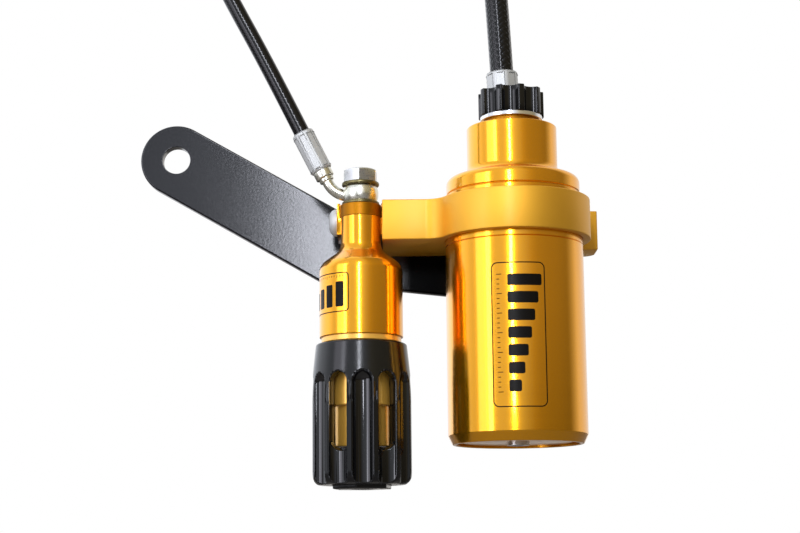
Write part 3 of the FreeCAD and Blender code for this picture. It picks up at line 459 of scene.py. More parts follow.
BLACK_SATIN = Finish("black_satin", (0.0045, 0.0048, 0.0055), (0.002, 0.002, 0.002), metallic=0.0,
                     roughness=0.17, roughness_swing=0.08, specular=0.38, spacing=1400.0, depth=0.000016,
                     tone=0.5, edge=0.5, edge_colour=(0.06, 0.065, 0.075), edge_width=0.00025)
BLACK_FLUTE = Finish("black_flute", (0.003, 0.003, 0.0035), (0.002, 0.002, 0.002), metallic=0.0,
                     roughness=0.06, roughness_swing=0.04, specular=0.6, spacing=1800.0, depth=0.000003,
                     tone=0.4, edge=0.5, edge_colour=(0.06, 0.065, 0.075), edge_width=0.00025)
BLACK_GLOSS = Finish("black_gloss", (0.003, 0.003, 0.0035), (0.002, 0.002, 0.002), metallic=0.0,
                     roughness=0.08, roughness_swing=0.05, specular=0.34,
                     spacing=1800.0, depth=0.000006, tone=0.4, edge=0.6, edge_colour=(0.16, 0.165, 0.18),
                     edge_width=0.0002)
# The strap's coat, with painted deep shade where it runs right of the adjuster, behind the gap and the tube.
STRAP_COAT = Finish("strap_coat", (0.008, 0.0085, 0.0115), (0.004, 0.004, 0.006), metallic=0.0,
                    roughness=0.15, roughness_swing=0.05, specular=0.46, spacing=1000.0, depth=0.000022,
                    tone=0.25, edge=0.3, edge_colour=(0.10, 0.10, 0.12), shade=(0.087, 0.094))
ZINC = Finish("zinc", (0.60, 0.61, 0.60), (0.50, 0.51, 0.51), metallic=0.6, roughness=0.55,
              roughness_swing=0.08, spacing=1500.0, depth=0.000004, tone=0.25)
PIPE_ZINC = Finish("pipe_zinc", (0.80, 0.79, 0.70), (0.50, 0.50, 0.42), roughness=0.27,
                   roughness_swing=0.1, spacing=700.0, depth=0.000006, tone=0.35)
STEEL = Finish("steel", (0.72, 0.74, 0.74), (0.5, 0.52, 0.53), roughness=0.32, roughness_swing=0.14,
               spacing=1800.0, depth=0.000008, tone=0.3, edge=0.3)
OLIVE = Finish("crush_washer", (0.20, 0.17, 0.08), (0.08, 0.07, 0.03), roughness=0.38,
               pattern=Pattern.TURNED, spacing=0.0003, depth=0.000003, tone=0.5)
ALUMINIUM = Finish("aluminium", (0.80, 0.81, 0.83), (0.6, 0.61, 0.63), roughness=0.2,
                   pattern=Pattern.TURNED, spacing=0.0003, depth=0.000002, tone=0.3)
HARD_GREY = Finish("hard_aluminium", (0.26, 0.27, 0.28), (0.17, 0.18, 0.19), roughness=0.42,
                   spacing=2500.0, tone=0.3)
BRONZE = Finish("bronze", (0.62, 0.36, 0.14), (0.42, 0.22, 0.08), roughness=0.35, spacing=1800.0, tone=0.3)
RUBBER = Finish("seal_rubber", (0.012, 0.012, 0.012), (0.02, 0.02, 0.02), metallic=0.0, roughness=0.55,
                spacing=1800.0, depth=0.00001, tone=0.4)
GUIDE = Finish("guide_plastic", (0.30, 0.13, 0.07), (0.2, 0.08, 0.04), metallic=0.0, roughness=0.5,
               spacing=1800.0, tone=0.3)
INK = Finish("label_ink", (0.004, 0.003, 0.002), (0.006, 0.004, 0.003), metallic=0.0, roughness=0.3,
             roughness_swing=0.1, specular=0.09, spacing=2500.0, depth=0.000002, tone=0.3)
LABEL_FILM = Finish("label_film", (0.89, 0.39, 0.005), (0.80, 0.33, 0.004), metallic=0.93, roughness=0.2,
                    roughness_swing=0.04, coat=0.45, coat_roughness=0.05, coat_ior=1.6,
                    pattern=Pattern.TURNED, spacing=0.0004, depth=0.000001, tone=0.12, anisotropic=0.5)


class Workshop:
    """Makes materials on demand and puts new pieces into the scene."""

    def __init__(self) -> None:
        """Builds the shared node groups."""
        self.effects = SurfaceEffects()
        self.made: dict[str, bpy.types.Material] = {}

    def material(self, finish: Finish) -> bpy.types.Material:
        """Gives a finish's material.

        Args:
            finish: The finish.

        Returns:
            Its one material.
        """
        if finish.name not in self.made:
            self.made[finish.name] = finish.build(self.effects)
        return self.made[finish.name]

    def paint(self, finish: Finish, *nodes: str) -> None:
        """Gives carried-over CAD nodes a finish.

        Args:
            finish: The finish.
            *nodes: Names of the nodes.
        """
        for name in nodes:
            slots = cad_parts[name].data.materials
            slots.clear()
            slots.append(self.material(finish))
            log.info("%s: %s", name, finish.name)

    def add(self, name: str, mesh: bpy.types.Mesh, finish: Finish, body: str, replaces: Sequence[str] = (),
            slot: str = "") -> bpy.types.Object:
        """Puts a finished mesh into the scene as a piece.

        Args:
            name: Name of the piece.
            mesh: Its mesh, in metres in the row frame.
            finish: Its finish.
            body: The CAD body that it rides on.
            replaces: CAD nodes that it stands for.
            slot: The record's material slot; not used.

        Returns:
            The new object.
        """
        piece = placed(name, mesh)
        mesh.materials.clear()
        mesh.materials.append(self.material(finish))
        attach(piece, body)
        if replaces:
            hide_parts(*replaces)
        log.info("%s: %d faces", name, len(mesh.polygons))
        return piece


# ---------------------------------------------------------------- mesh making


class Cut(Enum):
    """What is left of two meshes that overlap."""

    DIFFERENCE = "DIFFERENCE"
    UNION = "UNION"
    INTERSECT = "INTERSECT"


def placed(name: str, data: bpy.types.ID) -> bpy.types.Object:
    """Puts a mesh, curve, lamp or camera into the scene.

    Args:
        name: Name of the object.
        data: What the object shows.

    Returns:
        The new object.
    """
    item = bpy.data.objects.new(name, data)
    bpy.context.scene.collection.objects.link(item)
    return item


def shaded(mesh: bpy.types.Mesh, angle: float = 40.0) -> bpy.types.Mesh:
    """Shades a mesh smooth, with its sharp edges kept.

    Args:
        mesh: The mesh.
        angle: Edges that turn by more than this, in degrees, stay sharp.

    Returns:
        The same mesh.
    """
    mesh.shade_smooth()
    mesh.set_sharp_from_angle(angle=math.radians(angle))
    return mesh


def to_mesh(form: bmesh.types.BMesh, name: str, place: Matrix = Matrix.Identity(4),
            angle: float = 40.0) -> bpy.types.Mesh:
    """Turns a form in millimetres into a shaded mesh in metres.

    Args:
        form: The form, freed afterwards.
        name: Name of the mesh.
        place: Where it goes, in millimetres.
        angle: Edges that turn by more than this, in degrees, stay sharp.

    Returns:
        The new mesh.
    """
    bmesh.ops.remove_doubles(form, verts=form.verts[:], dist=SAME_PLACE)
    bmesh.ops.recalc_face_normals(form, faces=form.faces[:])
    mesh = bpy.data.meshes.new(name)
    form.to_mesh(mesh)
    form.free()
    mesh.transform(Matrix.Scale(MM, 4) @ place)
    return shaded(mesh, angle)


def lathe(profile: Profile, steps: int = LATHE_STEPS, closed: bool = False,
          round_edges: float = 0.25) -> bmesh.types.BMesh:
    """Turns a profile about the upright axis.

    Args:
        profile: Entries of radius and height, and a third value where a corner has its own rounding.
        steps: Facets round the axis.
        closed: Whether the profile is a ring that never touches the axis.
        round_edges: Rounding of the corners that have none of their own.

    Returns:
        The turned form, in millimetres.
    """
    form = bmesh.new()
    points = [form.verts.new((entry[0], 0.0, entry[1])) for entry in profile]
    pairs = list(zip(points, points[1:]))
    if closed:
        pairs.append((points[-1], points[0]))
    for start, end in pairs:
        form.edges.new((start, end))
    sizes = [entry[2] if len(entry) > 2 else round_edges for entry in profile]
    inner = range(len(points)) if closed else range(1, len(points) - 1)
    for size in sorted({sizes[i] for i in inner if sizes[i] > 0.0}):
        corners = [points[i] for i in inner if sizes[i] == size]
        bmesh.ops.bevel(form, geom=corners, offset=size, offset_type="OFFSET", segments=4, profile=0.5,
                        affect="VERTICES", material=-1)
    bmesh.ops.spin(form, geom=form.edges[:], cent=(0, 0, 0), axis=(0, 0, 1), dvec=(0, 0, 0),
                   angle=2 * math.pi, steps=steps, use_merge=True, use_normal_flip=False,
                   use_duplicate=False)
    bmesh.ops.remove_doubles(form, verts=form.verts[:], dist=SAME_PLACE)
    bmesh.ops.recalc_face_normals(form, faces=form.faces[:])
    return form


def slab(outline: Sequence[Point2], low: float, high: float) -> bmesh.types.BMesh:
    """Extrudes an outline upwards.

    Args:
        outline: Corners of the outline.
        low: Height of its underside.
        high: Height of its top.

    Returns:
        The solid form.
    """
    form = bmesh.new()
    face = form.faces.new([form.verts.new((x, y, low)) for x, y in outline])
    raised = bmesh.ops.extrude_face_region(form, geom=[face], use_keep_orig=True)
    moved = [item for item in raised["geom"] if isinstance(item, bmesh.types.BMVert)]
    bmesh.ops.translate(form, verts=moved, vec=(0, 0, high - low))
    bmesh.ops.recalc_face_normals(form, faces=form.faces[:])
    return form


def bevel_edges(form: bmesh.types.BMesh, chosen: Iterable[bmesh.types.BMEdge], size: float) -> None:
    """Rounds chosen edges of a form, with a rounding of this width."""
    bmesh.ops.bevel(form, geom=list(chosen), offset=size, offset_type="OFFSET", segments=3,
                    profile=0.5, affect="EDGES", material=-1, clamp_overlap=True)


def arc(centre: Point2, radius: float, start: float, end: float, count: int) -> list[Point2]:
    """Points that cut an arc, from one angle to another in degrees, into a number of pieces."""
    angles = [math.radians(start + (end - start) * i / count) for i in range(count + 1)]
    return [(centre[0] + radius * math.cos(a), centre[1] + radius * math.sin(a)) for a in angles]


def rod(radius: float, low: float, high: float, steps: int, place: Matrix) -> bpy.types.Mesh:
    """Makes a plain round rod, for cutting.

    Args:
        radius: Its radius.
        low: Height of its underside.
        high: Height of its top.
        steps: Facets round it.
        place: Where it goes.

    Returns:
        The mesh.
    """
    form = lathe([(0, low), (radius, low), (radius, high), (0, high)], steps, round_edges=0.0)
    return to_mesh(form, "rod", place)


def block(low: Point3, high: Point3) -> bpy.types.Mesh:
    """Makes a plain block.

    Args:
        low: Its lowest corner.
        high: Its highest corner.

    Returns:
        The mesh.
    """
    plan = [low[:2], (high[0], low[1]), high[:2], (low[0], high[1])]
    return to_mesh(slab(plan, low[2], high[2]), "block")


def prism(flats: float, sides: int, turn: float, low: float, high: float,
          place: Matrix = Matrix.Identity(4)) -> bpy.types.Mesh:
    """Makes an even prism, such as a hexagon.

    Args:
        flats: Distance across its flats.
        sides: Number of its sides.
        turn: Angle of its first corner, in degrees.
        low: Height of its underside.
        high: Height of its top.
        place: Where it goes.

    Returns:
        The mesh.
    """
    reach = flats / 2 / math.cos(math.pi / sides)
    angles = [math.radians(turn) + 2 * math.pi * i / sides for i in range(sides)]
    corners = [(reach * math.cos(angle), reach * math.sin(angle)) for angle in angles]
    return to_mesh(slab(corners, low, high), "prism", place)


def applied(blank: bpy.types.Object) -> bpy.types.Mesh:
    """Applies an object's modifiers.

    Args:
        blank: The object.

    Returns:
        The new mesh.
    """
    bpy.context.view_layer.update()
    graph = bpy.context.evaluated_depsgraph_get()
    result = bpy.data.meshes.new_from_object(blank.evaluated_get(graph), depsgraph=graph)
    result.name = blank.data.name
    return result


def add_weighted_normals(blank: bpy.types.Object) -> None:
    """Adds a modifier that bends normals towards the large faces."""
    blank.modifiers.new("normals", "WEIGHTED_NORMAL").keep_sharp = True


def carve(mesh: bpy.types.Mesh, tools: Sequence[bpy.types.Mesh], keep: Cut = Cut.DIFFERENCE,
          rounding: float = 0.0, segments: int = 2, angle: float = 32.0) -> bpy.types.Mesh:
    """Cuts meshes out of a mesh, or joins them to it, and rounds the edges that are left.

    Args:
        mesh: The mesh to cut.
        tools: The meshes that cut it.
        keep: What is left.
        rounding: Width of the rounding, in millimetres, or 0 for none.
        segments: Facets across the rounding.
        angle: Edges that turn by more than this, in degrees, are rounded.

    Returns:
        The new mesh.
    """
    blank = placed("blank", mesh)
    cutters = [placed(f"cutter_{index}", tool) for index, tool in enumerate(tools)]
    for index, cutter in enumerate(cutters):
        step = blank.modifiers.new(f"cut_{index}", "BOOLEAN")
        step.operation = keep.value
        step.solver = "EXACT"
        step.object = cutter
    if rounding > 0.0:
        bevel = blank.modifiers.new("edges", "BEVEL")
        bevel.width = rounding * MM
        bevel.segments = segments
        bevel.limit_method = "ANGLE"
        bevel.angle_limit = math.radians(angle)
        bevel.use_clamp_overlap = False
        bevel.harden_normals = False
        add_weighted_normals(blank)
    result = applied(blank)
    for extra in (blank, *cutters):
        bpy.data.objects.remove(extra)
    return result


def weighted(mesh: bpy.types.Mesh) -> bpy.types.Mesh:
    """Gives a mesh weighted normals.

    Args:
        mesh: The mesh.

    Returns:
        The new mesh.
    """
    blank = placed("blank", mesh)
    add_weighted_normals(blank)
    result = applied(blank)
    bpy.data.objects.remove(blank)
    return result


def shifted(x: float, y: float, z: float = 0.0) -> Matrix:
    """A move to the right, backwards and up, in millimetres."""
    return Matrix.Translation((x, y, z))


def aimed(place: Vector, direction: Vector) -> Matrix:
    """A move of the origin to a place that also turns the upright axis to a direction."""
    turn = Vector((0, 0, 1)).rotation_difference(direction.normalized())
    return Matrix.Translation(place) @ turn.to_matrix().to_4x4()


def span_of(node: str) -> tuple[Vector, Vector]:
    """Lowest and highest corner of a CAD node's box, in millimetres."""
    low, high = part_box(node)
    return low / MM, high / MM


def middle_of(node: str) -> Vector:
    """Centre of a CAD node's box, in millimetres."""
    low, high = span_of(node)
    return (low + high) / 2


def joined(name: str, meshes: Sequence[bpy.types.Mesh], angle: float = 40.0) -> bpy.types.Mesh:
    """Puts several meshes into one.

    Args:
        name: Name of the new mesh.
        meshes: The meshes, in metres.
        angle: Edges that turn by more than this, in degrees, stay sharp.

    Returns:
        The new mesh.
    """
    form = bmesh.new()
    for mesh in meshes:
        form.from_mesh(mesh)
    result = bpy.data.meshes.new(name)
    form.to_mesh(result)
    form.free()
    return shaded(result, angle)


# ---------------------------------------------------------------- sub-assemblies


@dataclass
class SubAssembly:
    """A group of pieces that belong together.

    Attributes:
        shop: Where materials and pieces are made.
    """

    shop: Workshop

    def ring(self, name: str, profile: Profile, steps: int, place: Matrix, finish: Finish, node: str,
             slot: str, body: str = "unit") -> None:
        """Makes a turned ring that stands for a CAD node.

        Args:
            name: Name of the piece.
            profile: Its profile, as lathe takes it.
            steps: Facets round it.
            place: Where it goes.
            finish: Its finish.
            node: Name of the node.
            slot: The record's material slot.
            body: The CAD body that it rides on.
        """
        mesh = weighted(to_mesh(lathe(profile, steps, closed=True), f"{name}_form", place))
        self.shop.add(name, mesh, finish, body, (node,), slot)

    def build(self) -> None:
        """Makes the pieces."""
        raise NotImplementedError


@dataclass
class Strap(SubAssembly):
    """Bent steel strap with round ends, its fixing hole and its two screws."""

    thickness: float = 5.0
    width: float = 28.5
    first_leg: float = 73.3
    first_slope: float = 30.0
    second_leg: float = 55.3
    second_slope: float = 6.3
    hole: float = 5.5
    rim: float = 0.75
    screw_head: float = 5.8
    screw_recess: float = 0.2
    screw_shank: float = 3.2

    def outline(self) -> list[Point2]:
        """Gives the strap's front view.

        Returns:
            Corners in the upright plane.
        """
        half = self.width / 2
        one = math.radians(self.first_slope)
        two = math.radians(self.second_slope)
        elbow = Vector((self.first_leg * math.cos(one), -self.first_leg * math.sin(one)))
        end = elbow + Vector((self.second_leg * math.cos(two), -self.second_leg * math.sin(two)))
        mean = (one + two) / 2
        corner = Vector((math.sin(mean), math.cos(mean))) * half / math.cos((one - two) / 2)
        left = arc((0.0, 0.0), half, 90 - self.first_slope, 270 - self.first_slope, 40)
        right = arc((end.x, end.y), half, -90 - self.second_slope, 90 - self.second_slope, 40)
        return [*left, tuple(elbow - corner), *right, tuple(elbow + corner)]

    def build(self) -> None:
        """Makes the strap and paints its screws."""
        form = slab(self.outline(), 0.0, self.thickness)
        rims = [e for e in form.edges if abs(e.verts[0].co.z - e.verts[1].co.z) < SAME_PLACE]
        bevel_edges(form, rims, self.rim)
        upright = Matrix.Rotation(math.radians(90), 4, "X")
        mesh = to_mesh(form, "support_strap_form", upright)
        through = self.thickness + PAST
        cutters = [rod(self.hole, -PAST, through, 64, upright)]
        low, high = span_of("strap_screws")
        head, shank = self.screw_head, self.screw_shank
        cone_end = self.screw_recess + head - shank
        for x in (low.x + head, high.x - head):
            sink = lathe([(0, -PAST), (head, -PAST), (head, self.screw_recess), (shank, cone_end),
                          (shank, through), (0, through)], 48, round_edges=0.0)
            cutters.append(to_mesh(sink, "sink", shifted(x, 0, (low.z + high.z) / 2) @ upright))
        mesh = carve(mesh, cutters, rounding=0.3, angle=50.0)
        self.shop.add("strap", shaded(mesh), STRAP_COAT, "unit", ("support_strap",), "black_coated_steel")
        self.shop.paint(STEEL, "strap_screws")


@dataclass
class ClampArm(SubAssembly):
    """Clamp ring with its arm and pinch ears."""

    wall: float = 3.0
    fillet: float = 8.0
    front_offset: float = 7.0
    ear_left_reach: float = 8.0
    ear_front_reach: float = 18.0
    ear_corner: float = 5.0
    slit_inset: float = 8.5
    slit_width: float = 2.0
    screw_sink: float = 4.35
    sink_depth: float = 5.0
    sink_length: float = 8.0
    bore_gap: float = 0.02
    rounding: float = 0.4

    def outline(self, centre: Vector, outer: float, left: float, right: float,
                back: float) -> list[Point2]:
        """Gives the plan of the ring, arm and ears.

        Args:
            centre: Axis of the ring.
            outer: Radius of the ring.
            left: Left end of the arm.
            right: Right end of the ears.
            back: Back of the ears.

        Returns:
            Corners, anticlockwise.
        """
        front = centre.y - self.front_offset
        away = outer + self.fillet
        drop = self.front_offset + self.fillet
        along = math.sqrt(away ** 2 - drop ** 2)
        turn = math.degrees(math.atan2(drop, along))
        fillet = arc((centre.x - along, centre.y - drop), self.fillet, 90.0, turn, 16)
        ear_start = math.degrees(math.asin(self.ear_front_reach / outer))
        ear_end = math.degrees(math.acos(self.ear_left_reach / outer))
        around = arc((centre.x, centre.y), outer, 180.0 + turn, 360.0 + ear_start, 84)
        rest = arc((centre.x, centre.y), outer, ear_end, 90.0, 6)
        corner = self.ear_corner
        ear_left = centre.x + self.ear_left_reach
        first = arc((right - corner, back - corner), corner, 0.0, 90.0, 12)
        second = arc((ear_left + corner, back - corner), corner, 90.0, 180.0, 12)
        return [(left, front), *fillet, *around[1:], (right, centre.y + self.ear_front_reach),
                *first, *second, *rest, (left, centre.y + outer)]

    def build(self) -> None:
        """Makes the arm and paints its screw."""
        low, high = span_of("clamp_arm")
        tube_low, tube_high = span_of("reservoir_tube")
        centre = (tube_low + tube_high) / 2
        bore = (tube_high.x - tube_low.x) / 2
        outer = bore + self.wall
        form = slab(self.outline(centre, outer, low.x, high.x, high.y), low.z, high.z)
        mesh = to_mesh(form, "clamp_arm_form")
        under, over = low.z - PAST, high.z + PAST
        hole = rod(bore + self.bore_gap, under, over, 192, shifted(centre.x, centre.y))
        slit_x = centre.x + outer - self.slit_inset
        slit_half = self.slit_width / 2
        slit = block((slit_x - slit_half, centre.y, under), (slit_x + slit_half, high.y + PAST, over))
        screw = middle_of("pinch_screw")
        seat = Vector((span_of("pinch_screw")[1].x - self.sink_depth, screw.y, screw.z))
        sink = rod(self.screw_sink, 0.0, self.sink_length, 48, aimed(seat, Vector((1, 0, 0))))
        mesh = carve(mesh, [hole, slit, sink], rounding=self.rounding, segments=3, angle=45.0)
        self.shop.add("clamp", shaded(mesh), GOLD_MATT, "unit", ("clamp_arm",), "gold_anodised")
        self.shop.paint(STEEL, "pinch_screw")


@dataclass
class Reservoir(SubAssembly):
    """Gas reservoir tube with its end cap, and its head."""

    wall: float = 3.0
    chamfer_height: float = 3.4
    chamfer_depth: float = 1.65
    line_drop: float = 2.3
    line_size: float = 0.4
    below_clamp: float = 76.6
    cap_step: float = 2.7
    cap_rim: float = 4.0
    cap_hole: float = 4.3
    cap_seat: float = 1.6
    cap_well: float = 14.0
    cap_well_depth: float = 4.0
    valve_bore: float = 3.4
    gap: float = 0.05
    flange_height: float = 11.0
    flange_round: float = 1.5
    flange_edge: float = 0.6
    bead_share: float = 1.07
    groove_height: float = 6.4
    cone_height: float = 13.6
    cone_radius: float = 20.0
    neck_start: float = 16.9
    neck_radius: float = 17.15
    thread_radius: float = 9.9
    thread_depth: float = 7.0
    head_bore: float = 6.95
    head_well: float = 18.0
    head_well_depth: float = 22.0

    def build(self) -> None:
        """Makes the tube, the end cap and the head, and paints what is inside."""
        low, high = span_of("reservoir_tube")
        radius = (high.x - low.x) / 2
        axis = shifted((low.x + high.x) / 2, (low.y + high.y) / 2)
        bore = radius - self.wall
        line = low.z + self.below_clamp - self.line_drop
        half = self.line_size / 2
        tube = [(bore, low.z, 0.3), (radius - self.chamfer_depth, low.z, 0.3),
                (radius, low.z + self.chamfer_height, 0.25), (radius, line - half, 0.06),
                (radius - self.line_size, line, 0.06), (radius, line + half, 0.06),
                (radius, high.z, 0.2), (bore, high.z, 0.2)]
        self.ring("tube", tube, 192, axis, GOLD_TURNED, "reservoir_tube", "gold_anodised")

        cap_low, cap_high = span_of("end_cap")
        boss, hole, valve, well = bore - self.cap_step, self.cap_hole, self.valve_bore, self.cap_well
        rim, inside = low.z + self.cap_rim, bore - self.gap
        seat, well_floor = cap_low.z + self.cap_seat, cap_high.z - self.cap_well_depth
        cap = [(hole, seat, 0.0), (hole, cap_low.z, 0.25), (boss, cap_low.z, 0.4), (boss, rim, 0.3),
               (inside, rim, 0.2), (inside, cap_high.z, 0.2), (well, cap_high.z, 0.3),
               (well, well_floor, 0.3), (valve, well_floor, 0.0), (valve, seat, 0.0)]
        self.ring("tube_cap", cap, 128, axis, GOLD_TURNED, "end_cap", "gold_anodised")
        self.head(axis, bore - self.gap)
        self.shop.paint(STEEL, "end_cap_circlip", "gas_valve_screw", "valve_nut", "compression_shims",
                        "check_valve_plate", "check_valve_spring", "knob_retaining_ring",
                        "compression_detent_ball", "compression_detent_spring")
        self.shop.paint(RUBBER, "end_cap_seal", "gas_valve_seal", "piston_seal", "head_seal")
        self.shop.paint(HARD_GREY, "floating_piston", "compression_valve_body")
        self.shop.paint(GUIDE, "piston_guide_ring")

    def head(self, axis: Matrix, spigot: float) -> None:
        """Makes the head.

        Args:
            axis: Move to the reservoir's axis.
            spigot: Radius of the part that goes into the tube.
        """
        low, high = span_of("reservoir_head")
        flange = (high.x - low.x) / 2
        base = span_of("reservoir_tube")[1].z
        groove = base + self.groove_height
        size = self.line_size
        round_low = base + self.flange_height
        cone = base + self.cone_height
        neck = base + self.neck_start
        span = self.cone_radius - self.neck_radius
        hollow = [(self.neck_radius + span * (1 - math.sin(t)), cone + (neck - cone) * (1 - math.cos(t)), 0.0)
                  for t in (math.radians(90 * i / 10) for i in range(1, 10))]
        thread, thread_end = self.thread_radius, high.z - self.thread_depth
        well, well_top = self.head_well, low.z + self.head_well_depth
        profile = [(well, low.z, 0.3), (spigot, low.z, 0.5), (spigot, base, 0.1),
                   (flange, base, 0.3), (flange, groove - size, 0.08), (flange - size, groove, 0.08),
                   (flange, groove + size, 0.08), (flange, round_low + self.flange_edge, 1.3),
                   (flange - self.flange_round, round_low + self.flange_round * self.bead_share, 0.3),
                   (self.cone_radius, cone, 0.3), *hollow, (self.neck_radius, neck, 0.0),
                   (self.neck_radius, high.z, 0.45), (thread, high.z, 0.3), (thread, thread_end, 0.0),
                   (self.head_bore, thread_end, 0.0), (self.head_bore, well_top, 0.0), (well, well_top, 0.3)]
        self.ring("head", profile, 192, axis, GOLD_TURNED, "reservoir_head", "gold_anodised")


@dataclass
class CompressionAdjuster(SubAssembly):
    """Collar, washer, scalloped knob and nipple on the reservoir's head."""

    scallops: int = 9
    scallop_radius: float = 3.3
    scallop_depth: float = 2.6
    turn: float = 35.0
    radius: float = 12.6
    height: float = 10.2
    lobe_round: float = 0.45
    rim_round: float = 0.28
    cup: float = 8.95
    floor: float = 2.4
    hub: float = 7.0
    hub_bore: float = 5.6
    hub_lap: float = 0.5
    hub_gap: float = 0.05
    nipple: float = 4.25
    collar_radius: float = 10.6
    collar_bore: float = 9.8
    washer_radius: float = 11.9
    washer_lip: float = 0.9
    lip_gap: float = 0.1

    def outline(self, radius: float) -> list[Point2]:
        """Gives the knob's plan.

        Args:
            radius: Radius over the lobes.

        Returns:
            Corners, anticlockwise.
        """
        reach = radius + self.scallop_radius - self.scallop_depth
        cosine = (radius ** 2 + reach ** 2 - self.scallop_radius ** 2) / (2 * radius * reach)
        half = math.degrees(math.acos(cosine))
        sine = radius * math.sin(math.radians(half)) / self.scallop_radius
        inner = math.degrees(math.asin(sine))
        step = 360.0 / self.scallops
        points: list[Point2] = []
        for index in range(self.scallops):
            middle = self.turn - 90.0 + step * index
            hollow = (reach * math.cos(math.radians(middle)), reach * math.sin(math.radians(middle)))
            points += arc(hollow, self.scallop_radius, middle + 180.0 + inner, middle + 180.0 - inner, 14)
            points += arc((0.0, 0.0), radius, middle + half, middle + step - half, 6)[1:-1]
        return points

    def build(self) -> None:
        """Makes the pieces."""
        low, high = span_of("compression_knob")
        washer_low, washer_high = span_of("knob_washer")
        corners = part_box("knob_washer")
        middle = (corners[0] + corners[1]) * 0.5 / MM
        axis = shifted(middle.x, middle.y)
        bottom = high.z - self.height
        form = slab(self.outline(self.radius), bottom, high.z)
        least_rise, least_turn = 1.0, math.radians(25)
        uprights = [e for e in form.edges if abs(e.verts[0].co.z - e.verts[1].co.z) > least_rise
                    and e.calc_face_angle(0.0) > least_turn]
        bevel_edges(form, uprights, self.lobe_round)
        mesh = to_mesh(form, "knob_form", axis)
        cup = rod(self.cup, bottom + self.floor, high.z + PAST, 96, axis)
        bore = rod(self.nipple, bottom - PAST, high.z + PAST, 48, axis)
        mesh = carve(mesh, [cup, bore], rounding=self.rim_round, segments=3, angle=40.0)
        hub_top = bottom + self.hub_lap
        hub = to_mesh(lathe([(self.hub_bore, low.z), (self.hub, low.z), (self.hub, hub_top),
                             (self.hub_bore, hub_top)], 64, closed=True), "hub", axis)
        mesh = joined("knob_form", [mesh, hub])
        self.shop.add("small_knob", mesh, BLACK_GLOSS, "compression_knob", ("compression_knob",),
                      "black_anodised")

        inside, outer = self.hub + self.hub_gap, self.washer_radius
        inner = self.collar_radius + self.lip_gap
        lip = washer_low.z - self.washer_lip
        washer = [(inside, washer_low.z, 0.2), (inner, washer_low.z, 0.2), (inner, lip, 0.2),
                  (outer, lip, 0.2), (outer, washer_high.z, 0.2), (inside, washer_high.z, 0.2)]
        self.ring("small_knob_washer", washer, 96, axis, ALUMINIUM, "knob_washer", "steel",
                  "compression_knob")
        collar_low, collar_high = span_of("compression_collar")
        head_top = span_of("reservoir_head")[1].z
        bore, radius = self.collar_bore, self.collar_radius
        collar = [(inside, collar_low.z), (bore, collar_low.z), (bore, head_top, 0.0),
                  (radius, head_top, 0.2), (radius, collar_high.z, 0.4), (inside, collar_high.z, 0.2)]
        self.ring("knob_collar", collar, 96, axis, GOLD_DEEP, "compression_collar", "dark_gold_anodised")
        self.shop.paint(STEEL, "hose_nipple", "compression_needle")


